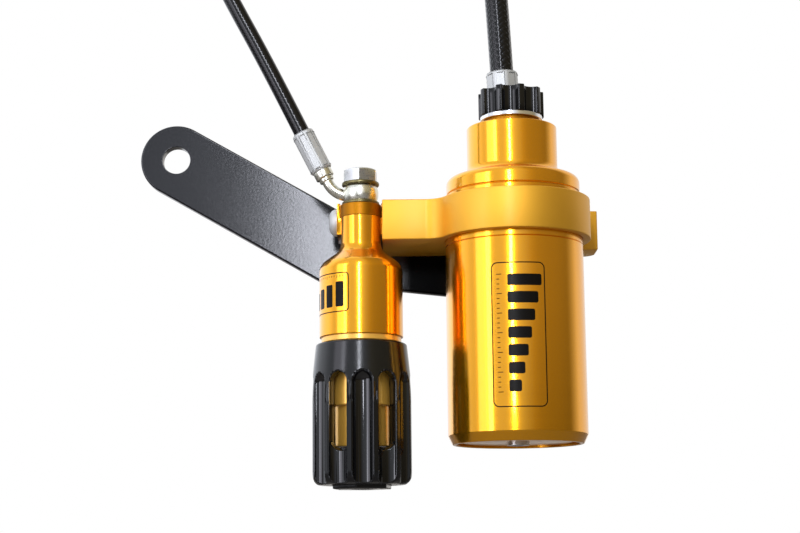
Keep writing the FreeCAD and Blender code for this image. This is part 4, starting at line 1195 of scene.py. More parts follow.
@dataclass
class PreloadAdjuster(SubAssembly):
    """Body, port bush and sleeve of the preload adjuster."""

    neck: float = 7.6
    bush_depth: float = 6.0
    shoulder_high: float = 6.1
    length: float = 27.4
    rounding: float = 0.12
    lug_left: float = 9.1
    lug_right: float = 8.2
    lug_height: float = 12.0
    lug_bore: float = 7.85
    bush_bore: float = 3.97
    bush_foot: float = 5.5
    bush_radius: float = 7.75
    sleeve_bore: float = 6.6
    sleeve_spigot: float = 13.0
    sleeve_radius: float = 12.4
    sleeve_step: float = 15.0
    sleeve_end: float = 10.6
    flange_radius: float = 15.0
    flange_height: float = 2.1
    spindle_bore: float = 5.05
    spindle_length: float = 5.5

    def build(self) -> None:
        """Makes the pieces and paints what is inside."""
        bush_low, bush_high = span_of("port_bush")
        centre = (bush_low + bush_high) / 2
        axis = shifted(centre.x, centre.y)
        low, high = span_of("adjuster_body")
        radius = centre.y - low.y
        neck_top = bush_low.z + self.bush_depth
        shoulder = low.z + self.length
        top = shoulder + self.shoulder_high
        body = lathe([(0, low.z), (radius, low.z, 0.3), (radius, shoulder, 2.2), (self.neck, top, 2.4),
                      (self.neck, neck_top, 0.15), (0, neck_top)], 128)
        mesh = to_mesh(body, "adjuster_form", axis)
        lug = block((centre.x - self.lug_left, centre.y, high.z - self.lug_height),
                    (centre.x + self.lug_right, high.y, high.z))
        lug = carve(lug, [rod(self.lug_bore, neck_top, high.z + PAST, 96, axis)])
        mesh = carve(mesh, [lug], Cut.UNION, rounding=self.rounding, angle=48.0)
        self.shop.add("adjuster", shaded(mesh), GOLD_TURNED, "unit", ("adjuster_body",), "gold_anodised")

        foot, bush_radius = self.bush_foot, self.bush_radius
        bush = [(self.bush_bore, bush_low.z), (foot, bush_low.z), (foot, neck_top, 0.0),
                (bush_radius, neck_top, 0.15), (bush_radius, bush_high.z, 0.3),
                (self.bush_bore, bush_high.z, 0.2)]
        self.ring("bush", bush, 96, axis, GOLD_DEEP, "port_bush", "dark_gold_anodised")
        self.sleeve(low.z, axis)
        self.shop.paint(ZINC, "adjuster_fixing_screw")
        self.shop.paint(STEEL, "preload_detent_ball", "preload_detent_spring", "adjuster_spindle",
                        "knob_screw")
        self.shop.paint(HARD_GREY, "adjuster_piston")
        self.shop.paint(RUBBER, "adjuster_piston_seal")
        self.shop.paint(BRONZE, "thrust_washer")

    def sleeve(self, base: float, axis: Matrix) -> None:
        """Makes the sleeve under the body, which the knob turns on.

        Args:
            base: Height of the body's underside.
            axis: Move to the adjuster's axis.
        """
        low, high = span_of("adjuster_sleeve")
        flange, step = base - self.flange_height, low.z + self.sleeve_step
        spindle, spindle_top = self.spindle_bore, low.z + self.spindle_length
        profile = [(self.sleeve_bore, high.z, 0.1), (self.sleeve_spigot, high.z, 0.3),
                   (self.sleeve_spigot, base, 0.0), (self.flange_radius, base, 0.15),
                   (self.flange_radius, flange, 0.3), (self.sleeve_radius, flange, 0.2),
                   (self.sleeve_radius, step, 0.5), (self.sleeve_end, step, 0.3),
                   (self.sleeve_end, low.z, 0.6), (spindle, low.z, 0.2), (spindle, spindle_top, 0.0),
                   (self.sleeve_bore, spindle_top, 0.0)]
        self.ring("sleeve", profile, 96, axis, GOLD_SOFT, "adjuster_sleeve", "gold_anodised")


@dataclass
class PreloadKnob(SubAssembly):
    """Fluted knob with windows in every second flute."""

    radius: float = 18.7
    top_radius: float = 17.0
    middle_radius: float = 18.3
    middle_drop: float = 12.2
    widest_drop: float = 20.8
    corner_height: float = 2.6
    corner_depth: float = 2.2
    corner_inset: float = 0.25
    corner_low: float = 0.62
    corner_high: float = 1.6
    cavity: float = 14.5
    lip_bore: float = 12.5
    lip_height: float = 3.9
    floor: float = 13.4
    flutes: int = 12
    flute_radius: float = 4.03
    flute_depth: float = 3.0
    flute_drop: float = 11.0
    turn: float = 2.5
    window_width: float = 6.9
    window_drop: float = 11.6
    window_length: float = 28.6
    hex_flats: float = 20.0
    hex_height: float = 1.5
    hex_turn: float = 21.0
    window_depth: float = 12.0
    well_radius: float = 4.0
    well_depth: float = 3.4
    rounding: float = 0.42

    def angle(self, index: int) -> float:
        """Gives the direction of a flute by its number, in radians."""
        return math.radians(self.turn - 90.0 + 360.0 * index / self.flutes)

    def blank(self, bottom: float, top: float, axis: Matrix) -> bpy.types.Mesh:
        """Makes the turned knob before its flutes are cut.

        Args:
            bottom: Height of its underside.
            top: Height of its top.
            axis: Move to the adjuster's axis.

        Returns:
            The mesh.
        """
        radius, lip, floor = self.radius, top - self.lip_height, bottom + self.floor
        corner_low = bottom + self.corner_height * self.corner_low
        corner_high = bottom + self.corner_height * self.corner_high
        body = lathe([(0, bottom), (radius - self.corner_depth, bottom, 1.2),
                      (radius - self.corner_inset, corner_low, 1.2),
                      (radius, corner_high, 0.6), (radius, top - self.widest_drop, 3.0),
                      (self.middle_radius, top - self.middle_drop, 2.5), (self.top_radius, top, 0.8),
                      (self.lip_bore, top, 0.3), (self.lip_bore, lip, 0.2), (self.cavity, lip, 0.2),
                      (self.cavity, floor, 0.5), (0, floor)], 144)
        return to_mesh(body, "knob_blank", axis)

    def flute_cutters(self, bottom: float, top: float, axis: Matrix) -> bpy.types.Mesh:
        """Makes the rods with round ends that cut the flutes.

        Args:
            bottom: Height of the knob's underside.
            top: Height of its top.
            axis: Move to the adjuster's axis.

        Returns:
            The rods as one mesh.
        """
        start = bottom - 3 * PAST
        reach = self.radius + self.flute_radius - self.flute_depth
        flute_top = top - self.flute_drop - self.flute_radius
        dome = [(self.flute_radius * math.sin(t), flute_top + self.flute_radius * math.cos(t), 0.0)
                for t in (math.radians(90 - 90 * i / 12) for i in range(1, 13))]
        flutes = []
        for index in range(self.flutes):
            angle = self.angle(index)
            form = lathe([(0, start), (self.flute_radius, start, 0.0), (self.flute_radius, flute_top, 0.0),
                          *dome], 48, round_edges=0.0)
            place = axis @ shifted(reach * math.cos(angle), reach * math.sin(angle))
            flutes.append(to_mesh(form, "flute", place))
        return joined("flutes", flutes)

    def window_cutters(self, top: float, axis: Matrix) -> bpy.types.Mesh:
        """Makes the slots with round ends that cut the windows.

        Args:
            top: Height of the knob's top.
            axis: Move to the adjuster's axis.

        Returns:
            The slots as one mesh.
        """
        windows = []
        half = self.window_width / 2
        first = top - self.window_drop - half
        last = top - self.window_drop - self.window_length + half
        for index in range(1, self.flutes, 2):
            sides = arc((0.0, first), half, 0.0, 180.0, 16) + arc((0.0, last), half, 180.0, 360.0, 16)
            slot = slab(sides, 0.0, self.window_depth)
            outward = Matrix.Rotation(math.radians(90), 4, "X")
            spun = Matrix.Rotation(self.angle(index) + math.pi / 2, 4, "Z")
            place = axis @ spun @ shifted(0, -self.window_depth) @ outward
            windows.append(to_mesh(slot, "window", place))
        return joined("windows", windows)

    def build(self) -> None:
        """Makes the knob, with a glossier finish in its flutes."""
        low, high = span_of("adjuster_knob")
        centre = middle_of("port_bush")
        axis = shifted(centre.x, centre.y)
        bottom, top = low.z + self.hex_height, high.z
        foot = prism(self.hex_flats, 6, self.hex_turn, low.z, bottom + PAST, axis)
        mesh = carve(self.blank(bottom, top, axis), [foot], Cut.UNION)
        hollows = self.flute_cutters(bottom, top, axis)
        windows = self.window_cutters(top, axis)
        well = rod(self.well_radius, low.z - PAST, low.z + self.well_depth, 48, axis)
        gloss = self.shop.material(BLACK_FLUTE)
        for part in (mesh, hollows):
            part.materials.clear()
            part.materials.append(self.shop.material(BLACK_SATIN))
            part.materials.append(gloss)
        for face in hollows.polygons:
            face.material_index = 1
        mesh = carve(mesh, [hollows, windows, well], rounding=self.rounding, segments=3, angle=38.0)
        inner = [face.material_index for face in mesh.polygons]
        grip = self.shop.add("preload_knob_grip", shaded(mesh), BLACK_SATIN, "preload_knob",
                             ("adjuster_knob",), "black_anodised")
        grip.data.materials.append(gloss)
        for face, index in zip(grip.data.polygons, inner):
            face.material_index = index


@dataclass
class BanjoJoint(SubAssembly):
    """Banjo bolt, washers and eye with its bent pipe."""

    ball: float = 6.8
    bore: float = 4.1
    pipe: float = 2.1
    stub: float = 2.0
    pipe_end: float = 11.0
    collar: Point3 = (2.8, 6.5, 8.2)
    socket: Point3 = (3.6, 8.0, 11.1)
    drop: float = 0.65
    reach: float = 9.7
    bend: float = 9.5
    lean: float = 26.7
    flats: float = 12.0
    hex_turn: float = 86.0
    corner_height: float = 3.4
    top_share: float = 0.92
    shank: float = 3.95
    shank_lap: float = 0.1
    washer_bore: float = 4.0
    washer_radius: float = 7.1
    lower_washer: float = 1.2
    upper_washer: float = 1.3

    def eye(self, centre: Vector, low: float, high: float) -> bpy.types.Mesh:
        """Makes the ball with its pipe, collar and socket.

        Args:
            centre: Middle of the ball.
            low: Its flat underside.
            high: Its flat top.

        Returns:
            The mesh.
        """
        edge = math.degrees(math.asin((high - low) / 2 / self.ball))
        side = [(self.ball * math.cos(math.radians(t)), self.ball * math.sin(math.radians(t)), 0.0)
                for t in (-edge + 2 * edge * i / 20 for i in range(21))]
        side[0] = (*side[0][:2], 0.25)
        side[-1] = (*side[-1][:2], 0.25)
        ball = lathe([(self.bore, side[0][1], 0.1), *side, (self.bore, side[-1][1], 0.1)], 96, closed=True)
        parts = [to_mesh(ball, "ball", Matrix.Translation(centre))]

        way = Vector((-math.sin(math.radians(self.lean)), 0.0, math.cos(math.radians(self.lean))))
        corner = centre + Vector((-self.reach, 0.0, -self.drop))
        turn = math.radians(90.0 - self.lean)
        run = self.bend * math.tan(turn / 2)
        form = bmesh.new()
        ring = bmesh.ops.create_circle(form, cap_ends=True, radius=self.pipe, segments=40)
        start = corner + Vector((run + self.stub, 0.0, 0.0))
        bmesh.ops.rotate(form, verts=ring["verts"], cent=(0, 0, 0),
                         matrix=Matrix.Rotation(math.radians(90), 3, "Y"))
        bmesh.ops.translate(form, verts=ring["verts"], vec=start)
        moved = self.push(form, form.faces[:], Vector((-self.stub, 0.0, 0.0)))
        pivot = corner + Vector((run, 0.0, self.bend))
        bent = bmesh.ops.spin(form, geom=moved, cent=pivot, axis=(0, 1, 0), dvec=(0, 0, 0), angle=turn,
                              steps=18, use_merge=False, use_normal_flip=False, use_duplicate=False)
        last = [item for item in bent["geom_last"] if isinstance(item, bmesh.types.BMFace)]
        self.push(form, last, way * (self.pipe_end - run))
        parts.append(to_mesh(form, "pipe"))
        for (radius, foot, top), rounding in ((self.collar, 0.35), (self.socket, 0.5)):
            sleeve = lathe([(0, foot), (radius, foot, rounding), (radius, top, 0.2), (0, top)], 64)
            parts.append(to_mesh(sleeve, "end", aimed(corner, way)))
        return joined("eye_form", parts)

    @staticmethod
    def push(form: bmesh.types.BMesh, faces: list[bmesh.types.BMFace], move: Vector) -> list:
        """Extrudes faces along a move.

        Args:
            form: The form.
            faces: The faces.
            move: How far they go.

        Returns:
            The faces at the new end, with their edges and corners.
        """
        raised = bmesh.ops.extrude_face_region(form, geom=faces)
        corners = [item for item in raised["geom"] if isinstance(item, bmesh.types.BMVert)]
        bmesh.ops.translate(form, verts=corners, vec=move)
        return raised["geom"]

    def build(self) -> None:
        """Makes the pieces."""
        washer_low, washer_high = span_of("banjo_washers")
        centre = (washer_low + washer_high) / 2
        axis = shifted(centre.x, centre.y)
        eye_low = washer_low.z + self.lower_washer
        eye_high = washer_high.z - self.upper_washer
        middle = Vector((centre.x, centre.y, (eye_low + eye_high) / 2))
        self.shop.add("banjo", self.eye(middle, eye_low, eye_high), PIPE_ZINC, "unit", ("banjo_eye",),
                      "zinc_plated")
        rings = []
        bore, outer = self.washer_bore, self.washer_radius
        for low, high in ((washer_low.z, eye_low), (eye_high, washer_high.z)):
            ring = lathe([(bore, low), (outer, low), (outer, high), (bore, high)], 72, closed=True,
                         round_edges=0.4)
            rings.append(to_mesh(ring, "ring", axis))
        self.shop.add("banjo_crush_washers", joined("washer_forms", rings), OLIVE, "unit", ("banjo_washers",),
                      "crush_washer")
        low, high = span_of("banjo_bolt")
        base = washer_high.z
        hexagon = prism(self.flats, 6, self.hex_turn, base, high.z, axis)
        cone = lathe([(0, base - PAST), (self.flats, base - PAST), (self.flats, high.z - self.corner_height),
                      (self.flats / 2 * self.top_share, high.z), (0, high.z)], 96, round_edges=0.0)
        head = carve(hexagon, [to_mesh(cone, "cone", axis)], Cut.INTERSECT, rounding=0.18, segments=3,
                     angle=28.0)
        top = base + self.shank_lap
        shank = to_mesh(lathe([(0, low.z), (self.shank, low.z, 0.4), (self.shank, top, 0.0), (0, top)], 48),
                        "shank", axis)
        self.shop.add("banjo_hexagon", joined("bolt_form", [head, shank], 30.0), STEEL, "unit",
                      ("banjo_bolt",), "zinc_plated")


@dataclass(frozen=True)
class HoseLine:
    """One hose with its ferrules and its far eye.

    Attributes:
        name: Name of the hose.
        points: The route's points, in millimetres.
        diameter: Outside diameter.
        length: Real length; not used.
        ferrule: Radius and length of the near ferrule.
        far_ferrule: Length of the far ferrule.
        foot: Where the near ferrule starts.
        eye_centre: Centre of the far eye.
        eye_axis: Axis of its bore.
        eye: Outer radius, width and bore radius.
        strands: Strand counts along and round.
        relief: Height of the strands under the clear cover, in metres.
    """

    name: str
    points: tuple[Point3, ...]
    diameter: float
    length: float
    ferrule: Point2
    far_ferrule: float
    foot: Point3
    eye_centre: Point3
    eye_axis: Point3
    eye: Point3
    strands: Point2
    relief: float


RESERVOIR_HOSE = HoseLine(
    "reservoir_hose",
    ((129.2609, -34.0, 26.0621), (127.7609, -34.0, 59.0621), (124.8609, -33.0, 94.5621),
     (118.2609, -30.0, 129.8621), (108.7609, -25.0, 162.0621)),
    diameter=9.0, length=138.6, ferrule=(6.05, 12.6), far_ferrule=16.0, foot=(129.7887, -34.0, 13.4731),
    eye_centre=(100.3644, -20.5808, 190.5220), eye_axis=(0.0417, 0.9891, -0.1413), eye=(9.0, 11.0, 5.05),
    strands=(76.0, 12.0), relief=0.00012)
PRELOAD_HOSE = HoseLine(
    "preload_hose",
    ((52.2191, -34.0, 3.0144), (38.8191, -34.0, 30.2144), (23.6191, -33.5, 58.6144),
     (9.0191, -31.5, 89.0144), (-1.3809, -28.0, 121.2144), (-6.7809, -23.0, 153.2144)),
    diameter=6.2, length=163.1, ferrule=(4.25, 16.9), far_ferrule=16.9, foot=(59.8126, -34.0, -12.0834),
    eye_centre=(-11.5008, -18.6297, 181.1843), eye_axis=(0.0253, 0.9883, -0.1502), eye=(6.8, 7.0, 4.1),
    strands=(90.0, 10.0), relief=0.00002)


@dataclass
class Hoses(SubAssembly):
    """Both hoses, as cords, with their crimped ferrules and far eyes."""

    ferrule_bore: float = 1.9
    ferrule_round: float = 0.9
    flats_share: float = 1.93
    crimp_start: float = 0.06
    crimp_end: float = 0.9
    crimp_turn: float = 11.0
    neck_share: float = 0.75
    neck_length: float = 5.0
    neck_lap: float = 1.2
    collar_share: float = 1.12
    collar_start: float = -0.2
    collar_end: float = 1.6
    neck_start: float = 2.4
    tip_share: float = 0.86

    def ferrule(self, radius: float, length: float) -> bpy.types.Mesh:
        """Makes a ferrule with eight flats pressed into it.

        Args:
            radius: Its radius.
            length: Its length.

        Returns:
            The mesh, standing at the origin.
        """
        bore, corner = self.ferrule_bore, self.ferrule_round
        body = to_mesh(lathe([(bore, 0.0, 0.0), (radius, 0.0, corner), (radius, length, corner),
                              (bore, length, 0.0)], 96, closed=True), "ferrule_blank")
        low, high = length * self.crimp_start, length * self.crimp_end
        jaws = rod(radius + 2 * PAST, low, high, 32, Matrix.Identity(4))
        left = prism(radius * self.flats_share, 8, self.crimp_turn, low - PAST, high + PAST)
        return carve(body, [carve(jaws, [left])], rounding=0.3, segments=3, angle=12.0)

    def eye(self, line: HoseLine, seat: Vector, way: Vector, radius: float) -> bpy.types.Mesh:
        """Makes the far eye and its neck.

        Args:
            line: The hose.
            seat: End of the far ferrule.
            way: Direction there.
            radius: Radius of the neck.

        Returns:
            The mesh.
        """
        outer, width, bore = line.eye
        ring = lathe([(bore, -width / 2, 0.3), (outer, -width / 2, 0.9), (outer, width / 2, 0.9),
                      (bore, width / 2, 0.3)], 96, closed=True)
        rim = to_mesh(ring, "ring", aimed(Vector(line.eye_centre), Vector(line.eye_axis)))
        collar, tip = radius * self.collar_share, radius * self.tip_share
        end = self.neck_length + self.neck_lap
        neck = lathe([(0, self.collar_start), (collar, self.collar_start, 0.3),
                      (collar, self.collar_end, 0.3), (radius, self.neck_start, 0.4),
                      (tip, end, 0.3), (0, end)], 64)
        return joined("far_eye_form", [rim, to_mesh(neck, "neck", aimed(seat, way))])

    def lay(self, line: HoseLine) -> None:
        """Makes one hose and what is on it.

        Args:
            line: The hose.
        """
        curve = bpy.data.curves.new(line.name, "CURVE")
        curve.dimensions = "3D"
        spline = curve.splines.new("NURBS")
        spline.points.add(len(line.points) - 1)
        for point, place in zip(spline.points, line.points):
            point.co = (*(value * MM for value in place), 1.0)
        spline.order_u = 3
        spline.use_endpoint_u = True
        spline.resolution_u = 24
        curve.bevel_depth = line.diameter / 2 * MM
        curve.bevel_resolution = 10
        curve.use_fill_caps = True
        finish = Finish(f"{line.name}_cover", (0.004, 0.004, 0.005), (0.001, 0.001, 0.001), metallic=0.0,
                        roughness=0.12, roughness_swing=0.06, coat=0.15, coat_roughness=0.03,
                        pattern=Pattern.BRAID, depth=line.relief, tone=0.6, specular=0.26,
                        strands=line.strands)
        curve.materials.append(self.shop.material(finish))
        hose = placed(f"{line.name}_run", curve)
        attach(hose, "unit")
        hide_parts(line.name)

        start = Vector(line.points[0])
        foot = Vector(line.foot)
        radius, length = line.ferrule
        near_way = (start - foot).normalized()
        near = self.ferrule(radius, length)
        near.transform(self.metres(start - near_way * length, near_way))
        self.shop.add(f"{line.name}_crimp", near, ZINC, "unit", (f"{line.name}_ferrule",), "zinc_plated")
        end = Vector(line.points[-1])
        way = (end - Vector(line.points[-2])).normalized()
        far = self.ferrule(radius, line.far_ferrule)
        far.transform(self.metres(end, way))
        crimp = self.shop.add(f"{line.name}_far_crimp", far, ZINC, "unit", (f"{line.name}_far_ferrule",),
                              "zinc_plated")
        eye = self.eye(line, end + way * line.far_ferrule, way, radius * self.neck_share)
        fitting = self.shop.add(f"{line.name}_far_fitting", eye, PIPE_ZINC, "unit",
                                (f"{line.name}_far_eye",), "zinc_plated")
        log.info("%s: cord", hose.name)

    @staticmethod
    def metres(place: Vector, way: Vector) -> Matrix:
        """Gives the move of a mesh that is already in metres to a place in millimetres."""
        return aimed(place * MM, way)

    def build(self) -> None:
        """Makes both hoses."""
        for line in (RESERVOIR_HOSE, PRELOAD_HOSE):
            self.lay(line)


@dataclass
class WrappedLabel:
    """Thin label bent round an upright cylinder.

    Attributes:
        axis: Axis of the cylinder.
        radius: Its radius.
        left: Left edge, as a length round the cylinder from its front.
        right: Right edge.
        low: Bottom edge.
        high: Top edge.
        corner: Radius of the corners.
        least_corner: Least radius of a corner further inside.
        sides: Pieces along each straight edge.
    """

    axis: Vector
    radius: float
    left: float
    right: float
    low: float
    high: float
    corner: float = 2.6
    least_corner: float = 0.4
    sides: int = 24

    def place(self, along: float, height: float, lift: float) -> Vector:
        """Bends a point of the flat label round the cylinder.

        Args:
            along: Length round the cylinder.
            height: Height.
            lift: Distance off the surface.

        Returns:
            The point, in millimetres.
        """
        angle = along / self.radius
        reach = self.radius + lift
        return Vector((self.axis.x + reach * math.sin(angle), self.axis.y - reach * math.cos(angle), height))

    def rectangle(self, inset: float) -> list[Point2]:
        """Gives the label's rounded outline.

        Args:
            inset: How far inside the edge it runs.

        Returns:
            Close points, anticlockwise.
        """
        left, right = self.left + inset, self.right - inset
        low, high = self.low + inset, self.high - inset
        radius = max(self.corner - inset, self.least_corner)
        corners = (((right - radius, low + radius), -90.0), ((right - radius, high - radius), 0.0),
                   ((left + radius, high - radius), 90.0), ((left + radius, low + radius), 180.0))
        points: list[Point2] = []
        for index, (centre, start) in enumerate(corners):
            points += arc(centre, radius, start, start + 90.0, 10)
            following, turn = corners[(index + 1) % len(corners)]
            goal = arc(following, radius, turn, turn, 1)[0]
            here = points[-1]
            points += [(here[0] + (goal[0] - here[0]) * i / self.sides,
                        here[1] + (goal[1] - here[1]) * i / self.sides) for i in range(1, self.sides)]
        return points

    def frame_line(self, form: bmesh.types.BMesh, inset: float, width: float, lift: float) -> None:
        """Adds a thin line along the label's outline.

        Args:
            form: The form that gets it.
            inset: Distance of its outer side from the edge.
            width: Its width.
            lift: Distance off the surface.
        """
        outer = [form.verts.new(self.place(*p, lift)) for p in self.rectangle(inset)]
        inner = [form.verts.new(self.place(*p, lift)) for p in self.rectangle(inset + width)]
        for i, start in enumerate(outer):
            j = (i + 1) % len(outer)
            form.faces.new((start, outer[j], inner[j], inner[i]))

    def strip(self, form: bmesh.types.BMesh, left: float, right: float, low: float, high: float,
              lift: float, rounding: float = 0.0) -> None:
        """Adds a filled bar.

        Args:
            form: The form that gets it.
            left: Left end.
            right: Right end.
            low: Bottom.
            high: Top.
            lift: Distance off the surface.
            rounding: Radius of its corners.
        """
        least_columns, column_width = 12, 0.35
        count = max(least_columns, int((right - left) / column_width))
        columns = []
        for i in range(count + 1):
            share = 0.5 - 0.5 * math.cos(math.pi * i / count)
            along = left + (right - left) * share
            depth = min(along - left, right - along)
            cut = 0.0
            if rounding > depth:
                cut = rounding - math.sqrt(max(rounding ** 2 - (rounding - depth) ** 2, 0.0))
            columns.append((form.verts.new(self.place(along, low + cut, lift)),
                            form.verts.new(self.place(along, high - cut, lift))))
        for (a, b), (c, d) in zip(columns, columns[1:]):
            form.faces.new((a, c, d, b))


@dataclass(frozen=True)
class MarkRow:
    """A row of bars or of ticks.

    Attributes:
        level: Whether the marks lie level, in a row that runs up or down.
        count: Number of marks.
        start: Place of the first mark along the row.
        step: Distance to the next mark.
        breadth: Where a mark begins and ends along the row, from its place.
        foot: Where the marks begin across the row.
        length: Length of the first mark, less than 0 to the left or down.
        minor: Length of the marks between two major ones.
        major: Every how many marks there is a major one.
        fall: How much shorter each mark is than the one before.
        rounding: Radius of the marks' corners.
    """

    level: bool
    count: int
    start: float
    step: float
    breadth: Point2
    foot: float
    length: float
    minor: float = 0.0
    major: int = 1
    fall: float = 0.0
    rounding: float = 0.0

    def draw(self, form: bmesh.types.BMesh, label: WrappedLabel, lift: float) -> None:
        """Adds the row to a label's print.

        Args:
            form: The form that gets it.
            label: The label.
            lift: Distance off the surface.
        """
        for index in range(self.count):
            place = self.start + self.step * index
            along = (place + self.breadth[0], place + self.breadth[1])
            length = (self.minor if index % self.major else self.length) - self.fall * index
            across = sorted((self.foot, self.foot + length))
            edges = (*across, *along) if self.level else (*along, *across)
            label.strip(form, *edges, lift, self.rounding)


@dataclass
class Labels(SubAssembly):
    """Plain graduated labels on the reservoir and the preload adjuster."""

    film_lift: float = 0.02
    ink_lift: float = 0.04
    reservoir_rows: tuple[MarkRow, ...] = (
        MarkRow(level=True, count=7, start=-59.0, step=-6.4, breadth=(-2.1, 2.1), foot=-4.6, length=12.6,
                fall=1.35, rounding=0.7),
        MarkRow(level=True, count=25, start=-56.9, step=-1.78, breadth=(-0.14, 0.14), foot=-8.6,
                length=1.9, minor=1.05, major=4))
    adjuster_rows: tuple[MarkRow, ...] = (
        MarkRow(level=False, count=7, start=-6.3, step=-4.9, breadth=(-3.4, 0.0), foot=-66.4, length=9.4,
                fall=1.0, rounding=0.5),
        MarkRow(level=False, count=27, start=-39.8, step=1.28, breadth=(-0.11, 0.11), foot=-54.6,
                length=-1.2, minor=-0.7, major=4))

    def finish(self, form: bmesh.types.BMesh, name: str, finish: Finish) -> None:
        """Turns a label's form into a piece.

        Args:
            form: The form, in millimetres.
            name: Name of the piece.
            finish: Its finish.
        """
        mesh = bpy.data.meshes.new(name)
        form.to_mesh(mesh)
        form.free()
        mesh.transform(Matrix.Scale(MM, 4))
        mesh.shade_smooth()
        self.shop.add(name, mesh, finish, "unit")

    def stick(self, name: str, label: WrappedLabel, line: Point2, rows: Sequence[MarkRow]) -> None:
        """Makes one label, a film with its print.

        Args:
            name: Name of the label.
            label: Its shape.
            line: Inset and width of the line along its edge.
            rows: Rows of marks.
        """
        film = bmesh.new()
        label.strip(film, label.left, label.right, label.low, label.high, self.film_lift, label.corner)
        self.finish(film, f"{name}_film", LABEL_FILM)
        ink = bmesh.new()
        label.frame_line(ink, *line, self.ink_lift)
        for row in rows:
            row.draw(ink, label, self.ink_lift)
        self.finish(ink, f"{name}_print", INK)

    def build(self) -> None:
        """Makes both labels."""
        low, high = span_of("reservoir_tube")
        tube = WrappedLabel((low + high) / 2, (high.x - low.x) / 2, left=-10.9, right=9.6, low=-105.3,
                            high=-52.2)
        self.stick("reservoir_label", tube, (0.25, 0.42), self.reservoir_rows)
        centre = middle_of("port_bush")
        radius = centre.y - span_of("adjuster_body")[0].y
        body = WrappedLabel(centre, radius, left=-42.5, right=-4.0, low=-68.6, high=-53.4, corner=1.8)
        self.stick("adjuster_label", body, (0.2, 0.4), self.adjuster_rows)


# ---------------------------------------------------------------- studio


@dataclass(frozen=True)
class SoftLight:
    """A rectangular lamp.

    Attributes:
        name: Its name.
        place: Where it hangs, in metres.
        target: What it points at.
        size: Width and height.
        radiance: Brightness of its face.
        tint: Colour of its light.
    """

    name: str
    place: Point3
    target: Point3
    size: Point2
    radiance: float
    tint: Colour = (0.95, 0.98, 1.08)

    def build(self) -> None:
        """Hangs the lamp."""
        lamp = bpy.data.lights.new(self.name, "AREA")
        lamp.shape = "RECTANGLE"
        lamp.size, lamp.size_y = self.size
        lamp.energy = self.radiance * math.pi * self.size[0] * self.size[1]
        lamp.color = self.tint
        holder = placed(self.name, lamp)
        way = Vector(self.target) - Vector(self.place)
        turn = way.to_track_quat("-Z", "Y").to_matrix().to_4x4()
        holder.matrix_world = Matrix.Translation(self.place) @ turn
        holder.visible_camera = False


COOL: Colour = (0.94, 0.98, 1.06)
WHITE: Colour = (1.0, 0.97, 0.93)
WARM: Colour = (1.0, 0.84, 0.5)


@dataclass(frozen=True)
class RoomStop:
    """Brightness of the room in one compass direction.

    Attributes:
        degrees: Direction, 0 straight ahead of the part and positive to its right in the picture.
        upper: Brightness above the horizon.
        lower: Brightness at the horizon.
        tint: Colour of the light there.
    """

    degrees: float
    upper: float
    lower: float
    tint: Colour


